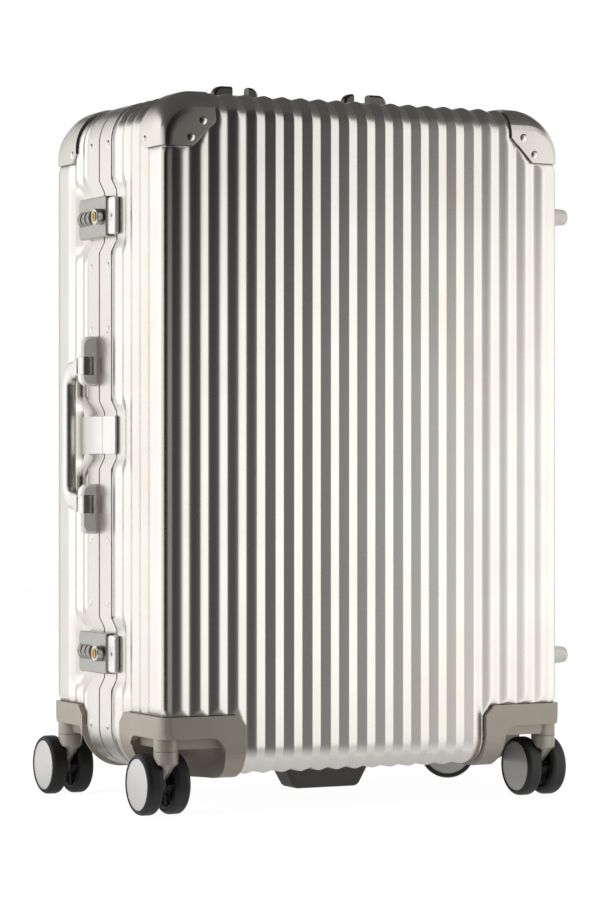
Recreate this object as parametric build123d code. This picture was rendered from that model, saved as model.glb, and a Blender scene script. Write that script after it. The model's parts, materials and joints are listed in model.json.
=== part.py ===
from build123d import *
import math
import os

# Hard shell suitcase on four twin-wheel casters, built from its separate pieces.
# X runs across the broad ribbed face, Y runs from the front half to the rear half, Z is up.
# The model is drawn about the middle of the body and is moved at the end, so that its origin is
# on the floor, under the middle of the whole object's box. All sizes are in millimetres.

# Body
BODY_WIDTH = 480.0
BODY_DEPTH = 287.0
BODY_HEIGHT = 720.0
BODY_LIFT = 39.2
CORNER_R = 45.0
EDGE_R = 32.0
POST_R = 10.0
SHEET = 1.5
SPLIT_Y = 24.0

# Pressed ribs
RIB_PITCH = 22.0
RIB_DEPTH = 3.0
RIB_START = 36.0
FADE_ANGLE = 80.0
RIB_END_RUN = 7.5
LAND_SINK = 0.4
LAST_RIB_ROOM = 7.0

# Steps of the rounded edges of the smooth corner forms
POST_STEPS = 4
EDGE_STEPS = 8

# Frames and seal
FRAME_BAND = 31.0
BAND_INSET = 0.5
FRAME_REACH = 16.0
WEB_THICK = 2.5
SEAL_GAP = 3.0
SEAL_SINK = 1.0
SEAL_WIDTH = 9.0

# Clearances
RUN_FIT = 0.05
MOVE_GAP = 0.4
SEAT_GAP = 0.2

# How far cutting tools run past what they cut, for long and for fine cuts
CUT = 20.0
OVERCUT = 1.0

# Scoops pressed into the left side under the locks and the centre plate
SCOOP_DIP = 6.0
SCOOP_RUN = 12.0
SCOOP_REAR = 62.0
SCOOP_FRONT = 57.0
LOCK_SPACING = 472.0
LOCK_SCOOP_HALF = 27.0
PLATE_SCOOP_HALF = 25.0

# Corner guards
GUARD_PROUD = 0.6
GUARD_FACE = 60.0
GUARD_SIDE = 57.0
GUARD_DROP = 60.0
GUARD_CHAMFER = 27.0
GUARD_SIDE_CHAMFER = 10.0
LAND_MARGIN = 1.2

# Caster housings
HOUSING_FACE = 94.0
HOUSING_SIDE = 107.0
HOUSING_RISE = 65.0
HOUSING_CHAMFER = 11.0
HOUSING_BAND_GAP = 8.0
HOUSING_PROUD = 3.0
WELL_R = 63.0
WELL_WALL = 2.5
WELL_TOP = 70.2
WELL_LIP = 11.0
WELL_LIP_DEPTH = 9.0
BOSS_RISE = 23.0
SWIVEL_INSET_X = 10.0
SWIVEL_INSET_Y = 16.5

# Casters
STEM_R = 13.0
SEAM_Z = 68.2
KINGPIN_R = 5.0
KINGPIN_LENGTH = 18.0
NECK_Z = 55.2
TRAIL = 20.0
WHEEL_R = 32.5
WHEEL_WIDTH = 19.0
WHEEL_GAP = 12.0
WHEEL_CLEAR = 1.5
TYRE_THICK = 3.6
TYRE_ROUND = 6.0
HUB_DISH = 3.0
HUB_HOLLOW = 6.0
HUB_BOSS_R = 7.5
HUB_STEP = 0.5
AXLE_R = 3.0
FORK_WEB = 11.0
FORK_KNEE = 8.0
FORK_KNEE_HALF = 7.7
FORK_EYE_R = 9.0
TURNED_SWIVEL = -117.0

# Rivets
RIVET_R = 4.5
RIVET_DOME = 1.8
SHANK_R = 2.0
RIVET_FROM_SPLIT = 22.5
LEFT_RIVETS = (313.0, 182.0, 114.0)
RIGHT_RIVETS = (313.0, 70.0)
TOP_RIVETS = (20.0, 160.0)
GUARD_RIVETS = ((45.0, 27.0), (31.0, 9.0))
GUARD_SIDE_RIVET = (10.0, 9.0)

# Locks
LOCK_TALL = 44.0
LOCK_PROUD = 7.0
LOCK_OVERHANG = 20.0
LOCK_REACH = 53.0
LOCK_PAN = 8.0
LOCK_ROUND = 3.0
LOCK_BEVEL = 1.0
DIAL_R = 9.0
DIAL_WIDTH = 9.0
DIAL_PITCH = 11.6
DIAL_SINK = 5.0
DIAL_FIRST = 22.6
DIAL_SHAFT_R = 1.5
DIAL_COUNT = 3
DIAL_DIGITS = 10
DIAL_BEVEL = 0.8
DIAL_NOTCH_R = 0.8
PAN_START = 17.0
KEY_R = 5.5
KEY_LENGTH = 6.0
KEY_PROUD = 0.8
KEY_SLOT = 1.2
BUTTON_LONG = 14.0
BUTTON_TALL = 15.0
BUTTON_TRAVEL = 5.0
BUTTON_DEPTH = 4.0
BARREL_R = 8.8
BARREL_PROUD = 8.0
BARREL_EDGE = 1.0
BUTTON_END = 13.0
HASP_TALL = 40.0
HASP_REACH = 38.5
HASP_THICK = 5.0

# Centre plate
PLATE_TALL = 41.0
PLATE_THICK = 2.5
PLATE_REAR = 58.0
PLATE_FRONT = 34.0
PLATE_SPLIT_GAP = 1.2

# Carry handles
BRACKET_LONG = 54.0
BRACKET_WIDE = 13.0
BRACKET_BASE = 2.5
SIDE_BRACKET_HEIGHT = 17.5
TOP_BRACKET_HEIGHT = 25.0
BRACKET_SPLIT_GAP = 8.0
SIDE_BRACKET_OFFSET = 14.0
BRACKET_ROUND = 10.0
BRACKET_BEVEL = 2.5
SIDE_HANDLE_SPAN = 150.0
TOP_HANDLE_SPAN = 152.0
SLOT_WIDE = 20.0
SLOT_OUTER = 22.0
PIVOT_RISE = 9.5
EYE_R = 6.5
PIN_R = 2.5
PIN_INSET = 2.0
GRIP_REACH = 49.0
GRIP_WIDE = 20.0
GRIP_TAPER = 8.0
ARM_THICK = 13.0
ARM_ROUND = 4.0
GRIP_ROUND = 5.0

# Trolley
TROLLEY_Y = 122.0
TUBE_SPACING = 170.0
INNER_TUBE = (11.0, 8.0)
TUBE_WALL = 1.4
TUBE_ROUND = 2.0
TUBE_FOOT = 60.0
STAGE_OVERLAP = 120.0
BEZEL_WIDE = 240.0
BEZEL_DEEP = 38.0
BEZEL_SINK = 20.0
BEZEL_FLOOR = 4.0
BEZEL_PROUD = 1.5
BEZEL_ROUND = 8.0
GRIP_BAR_WIDE = 210.0
GRIP_BAR_DEEP = 21.0
GRIP_BAR_TALL = 15.0
GRIP_BAR_ROUND = 4.0
GRIP_BAR_EDGE = 3.2
TROLLEY_BUTTON_WIDE = 46.0
TROLLEY_BUTTON_DEEP = 9.0
TROLLEY_BUTTON_TALL = 5.0
TROLLEY_BUTTON_TRAVEL = 2.0
TROLLEY_BUTTON_PROUD = 1.5
TROLLEY_BUTTON_ROUND = 4.0

# Hinges
HINGE_SPACING = 300.0
HINGE_TALL = 60.0
HINGE_KNUCKLE_R = 4.5
HINGE_OFFSET = 6.0
HINGE_PIN_R = 2.0
HINGE_LEAF_WIDE = 22.0
HINGE_LEAF_THICK = 2.0
HINGE_LEAF_START = 6.0
HINGE_MID_SHARE = 20.0

# Side feet
FOOT_R = 10.5
FOOT_TIP_R = 8.5
FOOT_LENGTH = 24.0
FOOT_EDGE_INSET = 25.0
FOOT_SPACING = 487.0
FOOT_ROUND = 4.0

# Bottom grip
PULL_TOP_WIDE = 108.0
PULL_BOTTOM_WIDE = 78.0
PULL_DEEP = 32.0
PULL_DROP = 26.0
PULL_SPLIT_GAP = 43.0
PULL_WALL = 7.0
PULL_FLOOR = 5.6
PULL_ROUND = 9.0
PULL_EDGE = 4.5

# Linings and what lies on them
LINING_THICK = 2.0
FRONT_LINING_FLOOR = 12.0
REAR_LINING_FLOOR = 31.5
LINING_R = 30.0
STRAP_WIDE = 30.0
STRAP_THICK = 2.0
STRAP_SPACING = 260.0
STRAP_MARGIN = 25.0
BUCKLE_WIDE = 44.0
BUCKLE_LONG = 60.0
BUCKLE_THICK = 7.0
BUCKLE_ROUND = 7.0
BUCKLE_EDGE = 2.3
POCKET_WIDE = 380.0
POCKET_TALL = 560.0
POCKET_THICK = 4.0
POCKET_ROUND = 25.0

# Worked out from the sizes above
FRONT = -1
REAR = 1
HALF_W = BODY_WIDTH / 2
HALF_H = BODY_HEIGHT / 2
WALL = BODY_DEPTH / 2
MID_Z = BODY_LIFT + HALF_H
TOP_Z = BODY_LIFT + BODY_HEIGHT
LAND = RIB_DEPTH + LAND_SINK
BAND_THICK = LAND - BAND_INSET
SEAL_HALF = SEAL_GAP / 2
SHELL_EDGE = SEAL_HALF + WEB_THICK + SEAT_GAP
LOCK_ZS = (MID_Z + LOCK_SPACING / 2, MID_Z - LOCK_SPACING / 2)
SCOOPS = [(z, LOCK_SCOOP_HALF) for z in LOCK_ZS] + [(MID_Z, PLATE_SCOOP_HALF)]
BAND_X = -HALF_W + BAND_INSET
SCOOP_BAND_X = BAND_X + SCOOP_DIP
SCOOP_FLOOR_X = -HALF_W + LAND + SCOOP_DIP
SWIVEL_X = HALF_W - SWIVEL_INSET_X
SWIVEL_Y = WALL - SWIVEL_INSET_Y
AXLE_Z = WHEEL_R
HINGE_X = HALF_W + HINGE_OFFSET
HINGE_ZS = (MID_Z - HINGE_SPACING / 2, MID_Z + HINGE_SPACING / 2)


def block(x, y, z):
    """A box between two limits on each axis."""
    size = [abs(limits[1] - limits[0]) for limits in (x, y, z)]
    middle = [(limits[0] + limits[1]) / 2 for limits in (x, y, z)]
    return Pos(*middle) * Box(*size)


def rod(start, end, radius):
    """A round bar between two points."""
    axis = Vector(*end) - Vector(*start)
    plane = Plane(origin=start, z_dir=axis)
    return plane * Cylinder(radius, axis.length, align=(Align.CENTER, Align.CENTER, Align.MIN))


def prism(points, direction):
    """A closed outline of corner points, pushed along a direction."""
    outline = Face(Wire.make_polygon([Vector(*p) for p in points], close=True))
    return Part() + Solid.extrude(outline, Vector(*direction))


def frustum(near, far):
    """A straight-sided solid between two polygons with as many corners."""
    wires = [Wire.make_polygon([Vector(*p) for p in points], close=True) for points in (near, far)]
    return Part() + Solid.make_loft(wires, ruled=True)


def mirrored_x(part):
    """The same part on the other side of the middle plane."""
    return mirror(part, about=Plane.YZ)


# Ribbed and smooth bodies


def side_section(y, inset):
    """Body outline at one depth, with top and bottom rising to the middle, so side ribs fade out there."""
    r = CORNER_R - inset
    corner_x = HALF_W - CORNER_R
    corner_z = HALF_H - CORNER_R
    fade = math.radians(FADE_ANGLE)
    apex = corner_z + r * math.sin(fade) + (corner_x + r * math.cos(fade)) / math.tan(fade)

    def at(sx, sz, angle):
        return (sx * (corner_x + r * math.cos(angle)), y, MID_Z + sz * (corner_z + r * math.sin(angle)))

    def arc(sx, sz, first, last):
        return ThreePointArc(at(sx, sz, first), at(sx, sz, fade / 2), at(sx, sz, last))

    top = (0, y, MID_Z + apex)
    bottom = (0, y, MID_Z - apex)
    return Wire([
        Line(at(1, -1, 0), at(1, 1, 0)),
        arc(1, 1, 0, fade),
        Line(at(1, 1, fade), top),
        Line(top, at(-1, 1, fade)),
        arc(-1, 1, fade, 0),
        Line(at(-1, 1, 0), at(-1, -1, 0)),
        arc(-1, -1, 0, fade),
        Line(at(-1, -1, fade), bottom),
        Line(bottom, at(1, -1, fade)),
        arc(1, -1, fade, 0),
    ])


def face_section(x, inset, side, y_open):
    """Cut through one half across its broad face, with the rounded top and bottom edges."""
    bend = (EDGE_R - inset) * math.sqrt(0.5)
    y_wall = side * (WALL - inset)
    y_bend = side * (WALL - EDGE_R)
    h = HALF_H - inset
    h_bend = HALF_H - EDGE_R

    def at(y, z):
        return (x, y, MID_Z + z)

    return Wire([
        Line(at(y_open, -h), at(y_bend, -h)),
        ThreePointArc(at(y_bend, -h), at(y_bend + side * bend, -h_bend - bend), at(y_wall, -h_bend)),
        Line(at(y_wall, -h_bend), at(y_wall, h_bend)),
        ThreePointArc(at(y_wall, h_bend), at(y_bend + side * bend, h_bend + bend), at(y_bend, h)),
        Line(at(y_bend, h), at(y_open, h)),
        Line(at(y_open, h), at(y_open, -h)),
    ])


def side_stations(side, inset, y_open):
    """Depths and rib insets of the outlines round the sides, from the broad face to the open edge."""
    y_band = SPLIT_Y + side * FRAME_BAND
    stations = [(side * (WALL - inset), 0.0)]
    ridge = side * (WALL - RIB_START)
    while side * (ridge - y_band) > LAST_RIB_ROOM:
        valley = ridge - side * min(RIB_PITCH / 2, side * (ridge - y_band))
        stations += [(ridge, 0.0), (valley, RIB_DEPTH)]
        ridge -= side * RIB_PITCH
    return stations + [(y_open, RIB_DEPTH)]


def face_stations():
    """Places and rib insets of the cuts across the broad face, from left to right."""
    count = int((HALF_W - POST_R) // RIB_PITCH)
    stations = [(-HALF_W, 0.0)]
    for i in range(-count, count + 1):
        stations += [((i - 0.5) * RIB_PITCH, RIB_DEPTH), (i * RIB_PITCH, 0.0)]
    return stations + [((count + 0.5) * RIB_PITCH, RIB_DEPTH), (HALF_W, 0.0)]


def ribbed_body(side, inset, overrun):
    """One half as a solid: side ribs, face ribs and rounded posts, all drawn in by an inset."""
    y_open = SPLIT_Y + side * (SHELL_EDGE - overrun)
    rings = [side_section(y, inset + depth) for y, depth in side_stations(side, inset, y_open)]
    cuts = [face_section(x, inset + depth, side, y_open) for x, depth in face_stations()]
    wall = side * (WALL - inset)
    half = HALF_W - inset
    plan = make_face(Polyline((-half, y_open), (-half, wall), (half, wall), (half, y_open), close=True))
    posts = [v for v in plan.vertices() if abs(v.Y - wall) < inset + RIB_DEPTH]
    plan = fillet(posts, POST_R - inset)
    column = extrude(Pos(0, 0, BODY_LIFT - CUT) * plan, BODY_HEIGHT + 2 * CUT)
    around = Part() + Solid.make_loft(rings, ruled=True)
    across = Part() + Solid.make_loft(cuts, ruled=True)
    return around & across & column


def outline(inset, dips=False):
    """Rounded body outline in the XZ plane, with the lock dips on its left side if asked."""
    wide = BODY_WIDTH - 2 * inset
    tall = BODY_HEIGHT - 2 * inset
    shape = Pos(0, MID_Z) * RectangleRounded(wide, tall, CORNER_R - inset)
    if dips:
        edge = -HALF_W + inset
        for z, half in SCOOPS:
            dip = Polyline(
                (edge - SCOOP_DIP, z - half - 2 * SCOOP_RUN),
                (edge + SCOOP_DIP, z - half),
                (edge + SCOOP_DIP, z + half),
                (edge - SCOOP_DIP, z + half + 2 * SCOOP_RUN),
                close=True,
            )
            shape -= make_face(dip)
    return shape


def slab(shape, y_from, y_to):
    """An XZ shape pushed along Y between two depths."""
    plane = Plane(origin=(0, y_from, 0), x_dir=(1, 0, 0), z_dir=(0, -1, 0))
    return extrude(plane * shape, y_from - y_to)


def rounding_inset(radius, deep):
    """How far a rounded edge draws in at a depth below the face."""
    return radius - math.sqrt(radius ** 2 - max(radius - deep, 0.0) ** 2)


def smooth_section(side, inset, deep):
    """Outline at a depth below the broad face, drawn in by the posts' and the edges' rounding."""
    in_x = rounding_inset(POST_R - inset, deep)
    in_z = rounding_inset(EDGE_R - inset, deep)
    wide = BODY_WIDTH - 2 * (inset + in_x)
    tall = BODY_HEIGHT - 2 * (inset + in_z)
    shape = Pos(0, MID_Z) * RectangleRounded(wide, tall, CORNER_R - inset - (in_x + in_z) / 2)
    plane = Plane(origin=(0, side * (WALL - inset - deep), 0), x_dir=(1, 0, 0), z_dir=(0, -1, 0))
    return (plane * shape).wires()[0]


def smooth_body(side, inset, y_open=SPLIT_Y):
    """One half without ribs, at one inset from the ridges, with rounded posts and edges."""
    depths = {0.0, side * (side * (WALL - inset) - y_open)}
    for radius, steps in ((POST_R - inset, POST_STEPS), (EDGE_R - inset, EDGE_STEPS)):
        depths |= {radius * (1 - math.cos(math.pi / 2 * i / steps)) for i in range(1, steps + 1)}
    sections = [smooth_section(side, inset, deep) for deep in sorted(depths)]
    return Part() + Solid.make_loft(sections, ruled=True)


# Lands for the corner guards and the caster housings


def chamfered(inner, level, up, chamfer, grow):
    """Corner outline with one cut-off corner: pairs of (sideways, height), sideways counted positive."""
    reach = inner - grow
    start = level - up * grow
    cut = chamfer + grow * (2 - math.sqrt(2))
    far = inner + BODY_DEPTH
    end = level + up * (HOUSING_RISE + GUARD_DROP + CUT)
    return [(far, start), (reach + cut, start), (reach, start + up * cut), (reach, end), (far, end)]


def guard_outlines(grow):
    """Face and side outlines of a top corner guard."""
    level = TOP_Z - GUARD_DROP
    face = chamfered(HALF_W - GUARD_FACE, level, 1, GUARD_CHAMFER, grow)
    flank = chamfered(WALL - GUARD_SIDE, level, 1, GUARD_SIDE_CHAMFER, grow)
    return face, flank


def housing_outlines(side, grow):
    """Face and side outlines of a bottom caster housing, which stops short of the frame band."""
    level = BODY_LIFT + HOUSING_RISE
    room = WALL - side * SPLIT_Y - FRAME_BAND - HOUSING_BAND_GAP
    face = chamfered(HALF_W - HOUSING_FACE, level, -1, HOUSING_CHAMFER, grow)
    flank = chamfered(WALL - min(HOUSING_SIDE, room), level, -1, HOUSING_CHAMFER, grow)
    return face, flank


def corner_region(side, face, flank):
    """Space on the right that both outlines cover."""
    through_y = prism([(x, side * (WALL + CUT), z) for x, z in face], (0, -side * (WALL + CUT), 0))
    through_x = prism([(HALF_W + CUT, side * y, z) for y, z in flank], (-HALF_W, 0, 0))
    return through_y & through_x


def rib_end_slopes(side, outlines, inset):
    """Sloping cuts on the right that end the ribs round a land, on the broad face and on the side."""
    floor = LAND + inset
    wide = LAND_MARGIN + inset + RIB_END_RUN * (LAND + OVERCUT) / LAND
    low_face, low_flank = outlines(LAND_MARGIN + inset)
    high_face, high_flank = outlines(wide)
    on_face = frustum(
        [(x, side * (WALL - floor), z) for x, z in low_face],
        [(x, side * (WALL - inset + OVERCUT), z) for x, z in high_face],
    )
    on_side = frustum(
        [(HALF_W - floor, side * y, z) for y, z in low_flank],
        [(HALF_W - inset + OVERCUT, side * y, z) for y, z in high_flank],
    )
    return [on_face, on_side]


def band_land(side, inset):
    """Space over the ribs along the open edge, where the frame band lies."""
    ring = outline(-CUT) - outline(LAND + inset)
    return slab(ring, SPLIT_Y - side * CUT, SPLIT_Y + side * (FRAME_BAND + SEAT_GAP + inset))


def with_lands(body, side, inset):
    """Press the lands for the frame band, the guards and the housings into a ribbed body."""
    body -= band_land(side, inset)
    smooth = smooth_body(side, LAND + inset, SPLIT_Y - side * CUT)
    for outlines in (guard_outlines, lambda grow: housing_outlines(side, grow)):
        region = corner_region(side, *outlines(LAND_MARGIN + inset))
        cut = region - smooth
        for tool in [cut] + rib_end_slopes(side, outlines, inset):
            body -= tool
            body -= mirrored_x(tool)
    return body


def scoop(side, z, half, extra):
    """Sloping hollow in the left side, from the split to its far end."""
    depth = LAND + SCOOP_DIP + extra
    rim = depth + OVERCUT
    reach = (SCOOP_REAR if side > 0 else SCOOP_FRONT) + extra
    spread = SCOOP_RUN * rim / SCOOP_DIP

    def ring(x, grow):
        y_near = SPLIT_Y - side * CUT
        y_far = SPLIT_Y + side * (reach + grow)
        tall = half + extra + grow
        return [(x, y_near, z - tall), (x, y_far, z - tall), (x, y_far, z + tall), (x, y_near, z + tall)]

    return frustum(ring(-HALF_W + depth, 0.0), ring(-HALF_W + depth - rim, spread))


# Shells


def swivel_points(side):
    """Left and right caster swivel axes of one half."""
    return [(-SWIVEL_X, side * SWIVEL_Y), (SWIVEL_X, side * SWIVEL_Y)]


def well_column(point, radius, top):
    """Upright round space over a caster, from below the wheels to a height."""
    return rod((point[0], point[1], -CUT), (point[0], point[1], top), radius)


def lock_pan_block(z, grow):
    """Body of a lock that reaches inwards through the rear frame and shell."""
    start = SPLIT_Y + PAN_START
    end = SPLIT_Y + LOCK_REACH
    half = LOCK_TALL / 2 - LOCK_PAN / 2
    x_in = SCOOP_BAND_X + LOCK_PAN
    return block(
        (-HALF_W - CUT, x_in + grow),
        (start - grow, end + grow),
        (z - half - grow, z + half + grow),
    )


def shell(side):
    """Pressed sheet of one half, with its lands, scoops and cut-outs."""
    outer = with_lands(ribbed_body(side, 0.0, 0.0), side, 0.0)
    inner = with_lands(ribbed_body(side, SHEET, CUT), side, SHEET)
    for z, half in SCOOPS:
        outer -= scoop(side, z, half, 0.0)
        inner -= scoop(side, z, half, SHEET)
    body = outer - inner
    for point in swivel_points(side):
        body -= well_column(point, WELL_R + WELL_WALL + SEAT_GAP, WELL_TOP + BOSS_RISE + SEAT_GAP)
    if side == REAR:
        body -= bezel_block(SEAT_GAP)
        for z in LOCK_ZS:
            body -= lock_pan_block(z, SEAT_GAP)
    return body


# Frames


def frame(side):
    """Aluminium band round one half, with a web that closes on the seal."""
    y_web = SPLIT_Y + side * SEAL_HALF
    band = outline(BAND_INSET, True) - outline(LAND, True)
    web = outline(BAND_INSET, True) - outline(FRAME_REACH)
    body = slab(band, y_web, SPLIT_Y + side * FRAME_BAND) + slab(web, y_web, y_web + side * WEB_THICK)
    if side == REAR:
        for z in LOCK_ZS:
            body -= lock_pan_block(z, SEAT_GAP)
    return body


def seal():
    """Rubber bead that stands on the rear frame and fills the split."""
    ring = outline(BAND_INSET + SEAL_SINK, True) - outline(BAND_INSET + SEAL_SINK + SEAL_WIDTH)
    return slab(ring, SPLIT_Y + SEAL_HALF, SPLIT_Y - SEAL_HALF + MOVE_GAP)


# Guards, housings and casters


def corner_guards(side):
    """Smooth top corner guards of one half, seated on their lands."""
    skin = smooth_body(side, -GUARD_PROUD) - smooth_body(side, LAND)
    right = skin & corner_region(side, *guard_outlines(0.0))
    return [right, mirrored_x(right)]


def caster_housings(side):
    """Moulded bottom corner housings of one half, each with a lipped wheel well and a boss for the stem."""
    hull = smooth_body(side, -HOUSING_PROUD)
    point = swivel_points(side)[1]
    lip_top = WELL_TOP + WELL_LIP
    skirt = (hull - smooth_body(side, LAND)) & corner_region(side, *housing_outlines(side, 0.0))
    cup = well_column(point, WELL_R + WELL_WALL, lip_top + WELL_WALL) & hull
    boss = rod((*point, SEAM_Z), (*point, WELL_TOP + BOSS_RISE), STEM_R)
    well = well_column(point, WELL_R, WELL_TOP)
    lip = well_column(point, WELL_R, lip_top) - smooth_body(side, WELL_LIP_DEPTH - HOUSING_PROUD)
    bore = rod((*point, 0), (*point, SEAM_Z + KINGPIN_LENGTH + MOVE_GAP), KINGPIN_R + RUN_FIT)
    right = (skirt + cup - well - lip + boss) - bore
    return [right, mirrored_x(right)]


def caster_fork():
    """Stem, neck and trailing fork with its axle, about an upright swivel axis at the origin."""
    sections = [
        Pos(0, 0, SEAM_Z - MOVE_GAP) * Circle(STEM_R),
        Pos(0, 0, NECK_Z) * Circle(STEM_R),
        Pos(0, FORK_KNEE, AXLE_Z + STEM_R) * Ellipse(FORK_KNEE_HALF, STEM_R),
        Pos(0, TRAIL, AXLE_Z) * Ellipse(FORK_WEB / 2, FORK_EYE_R),
    ]
    neck = loft(sections[:2]) + loft(sections[1:], ruled=True)
    eye = rod((-FORK_WEB / 2, TRAIL, AXLE_Z), (FORK_WEB / 2, TRAIL, AXLE_Z), FORK_EYE_R)
    kingpin = rod((0, 0, NECK_Z), (0, 0, SEAM_Z + KINGPIN_LENGTH), KINGPIN_R)
    reach = WHEEL_GAP / 2 + WHEEL_WIDTH - HUB_DISH
    bore = rod((-reach, TRAIL, AXLE_Z), (reach, TRAIL, AXLE_Z), AXLE_R + RUN_FIT)
    axle = rod((-reach, TRAIL, AXLE_Z), (reach, TRAIL, AXLE_Z), AXLE_R)
    fork = neck + eye + kingpin - bore
    for hand in (1, -1):
        inner = (hand * (WHEEL_GAP / 2 - MOVE_GAP), TRAIL, AXLE_Z)
        outer = (hand * (WHEEL_GAP / 2 + WHEEL_WIDTH), TRAIL, AXLE_Z)
        fork -= rod(inner, outer, WHEEL_R + WHEEL_CLEAR)
    return [fork, axle]


def caster_wheel(hand):
    """Tyre and dished hub of one of the twin wheels, about a swivel axis at the origin."""
    start = hand * WHEEL_GAP / 2
    end = hand * (WHEEL_GAP / 2 + WHEEL_WIDTH)
    rim = WHEEL_R - TYRE_THICK

    def disc(x0, x1, radius):
        return rod((x0, TRAIL, AXLE_Z), (x1, TRAIL, AXLE_Z), radius)

    tyre = disc(start, end, WHEEL_R)
    tyre = fillet(tyre.edges().filter_by(GeomType.CIRCLE), TYRE_ROUND) - disc(start, end, rim)
    hub = disc(start, end - hand * HUB_STEP, rim - RUN_FIT)
    hollow = disc(start, start + hand * HUB_HOLLOW, rim - TYRE_THICK)
    hub -= hollow - disc(start, end, HUB_BOSS_R)
    hub -= disc(start - hand * OVERCUT, end - hand * HUB_DISH, AXLE_R + RUN_FIT)
    return [tyre, hub]


# Rivets


def rivet(point, outward, grip):
    """Domed rivet: the head stands on a surface point and the shank reaches inwards."""
    plane = Plane(origin=point, z_dir=outward)
    sphere_r = (RIVET_R ** 2 + RIVET_DOME ** 2) / (2 * RIVET_DOME)
    ball = Pos(0, 0, RIVET_DOME - sphere_r) * Sphere(sphere_r)
    keep = Pos(0, 0, RIVET_DOME) * Box(2 * sphere_r, 2 * sphere_r, 2 * RIVET_DOME)
    head = ball & keep
    shank = Cylinder(SHANK_R, grip, align=(Align.CENTER, Align.CENTER, Align.MAX))
    return plane * (head + shank)


def rivet_hole(point, outward, grip):
    """Clearance hole for one rivet's shank."""
    plane = Plane(origin=point, z_dir=outward)
    return plane * Cylinder(SHANK_R + RUN_FIT, 2 * grip + CUT)


def band_rivet_places(side):
    """Surface points and outward directions of the rivets along one frame band."""
    y = SPLIT_Y + side * RIVET_FROM_SPLIT
    x = HALF_W - BAND_INSET
    high = HALF_H - BAND_INSET
    places = []
    for dz in LEFT_RIVETS:
        places += [((-x, y, MID_Z + s * dz), (-1, 0, 0)) for s in (1, -1)]
    for dz in RIGHT_RIVETS:
        places += [((x, y, MID_Z + s * dz), (1, 0, 0)) for s in (1, -1)]
    for dx in TOP_RIVETS:
        places += [((s * dx, y, MID_Z + high), (0, 0, 1)) for s in (1, -1)]
        places += [((s * dx, y, MID_Z - high), (0, 0, -1)) for s in (1, -1)]
    return places


def guard_rivet_places(side):
    """Surface points and outward directions of the rivets in the corner guards."""
    face_y = side * (WALL + GUARD_PROUD)
    side_x = HALF_W + GUARD_PROUD
    z = TOP_Z - GUARD_DROP
    places = []
    for s in (1, -1):
        places += [((s * (HALF_W - dx), face_y, z + dz), (0, side, 0)) for dx, dz in GUARD_RIVETS]
        dy, dz = GUARD_SIDE_RIVET
        places.append(((s * side_x, side * (WALL - GUARD_SIDE + dy), z + dz), (s, 0, 0)))
    return places


# Locks and centre plate


def dial_places():
    """Middle of each number dial along the lock, and the distance of their shaft from the outer face."""
    shaft_x = SCOOP_BAND_X - LOCK_PROUD + DIAL_SINK
    return shaft_x, [SPLIT_Y + DIAL_FIRST + i * DIAL_PITCH for i in range(DIAL_COUNT)]


def key_place(z):
    """Middle of a key cylinder's outer face, in the middle of the release barrel."""
    near, far = button_limits()
    return (SCOOP_BAND_X - LOCK_PROUD - BARREL_PROUD - KEY_PROUD, (near + far) / 2, z)


def button_limits():
    """Near and far end of a release button at rest, along Y."""
    return SPLIT_Y - BUTTON_END, SPLIT_Y - BUTTON_END + BUTTON_LONG


def lock_case(z):
    """Lock body with the dial slots, the dial shaft and the release slide's pocket."""
    x_out = SCOOP_BAND_X - LOCK_PROUD
    half = LOCK_TALL / 2
    y_end = SPLIT_Y + LOCK_REACH
    cover = block((x_out, SCOOP_BAND_X), (SPLIT_Y + SEAL_HALF, y_end), (z - half, z + half))
    overhang = block(
        (x_out, SCOOP_BAND_X - MOVE_GAP),
        (SPLIT_Y - LOCK_OVERHANG, SPLIT_Y + SEAL_HALF),
        (z - half, z + half),
    )
    body = cover + overhang
    body = fillet(body.edges().filter_by(Axis.X), LOCK_ROUND)
    rim = body.faces().sort_by(Axis.X)[0].edges()
    body = chamfer(rim, LOCK_BEVEL)
    pan = block((x_out, SCOOP_BAND_X + LOCK_PAN), (0, y_end), (z - half, z + half))
    body += lock_pan_block(z, 0.0) & pan
    shaft_x, dial_ys = dial_places()
    for y in dial_ys:
        reach = DIAL_WIDTH / 2 + MOVE_GAP
        body -= rod((shaft_x, y - reach, z), (shaft_x, y + reach, z), DIAL_R + MOVE_GAP)
    body += rod((shaft_x, SPLIT_Y + PAN_START, z), (shaft_x, y_end, z), DIAL_SHAFT_R)
    near, far = button_limits()
    tall = BUTTON_TALL / 2 + MOVE_GAP
    body -= block(
        (x_out - CUT, x_out + BUTTON_DEPTH),
        (near - MOVE_GAP, far + BUTTON_TRAVEL + MOVE_GAP),
        (z - tall, z + tall),
    )
    return body


def lock_dial(z, index):
    """Number dial with a grooved rim, free on the lock's dial shaft."""
    shaft_x, dial_ys = dial_places()
    y = dial_ys[index]
    dial = rod((shaft_x, y - DIAL_WIDTH / 2, z), (shaft_x, y + DIAL_WIDTH / 2, z), DIAL_R)
    dial = chamfer(dial.edges().filter_by(GeomType.CIRCLE), DIAL_BEVEL)
    for step in range(DIAL_DIGITS):
        angle = 2 * math.pi * (step + 0.5) / DIAL_DIGITS
        x = shaft_x + (DIAL_R + DIAL_NOTCH_R / 2) * math.cos(angle)
        groove_z = z + (DIAL_R + DIAL_NOTCH_R / 2) * math.sin(angle)
        dial -= rod((x, y - DIAL_WIDTH, groove_z), (x, y + DIAL_WIDTH, groove_z), DIAL_NOTCH_R)
    return dial - rod((shaft_x, y - DIAL_WIDTH, z), (shaft_x, y + DIAL_WIDTH, z), DIAL_SHAFT_R + RUN_FIT)


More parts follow.
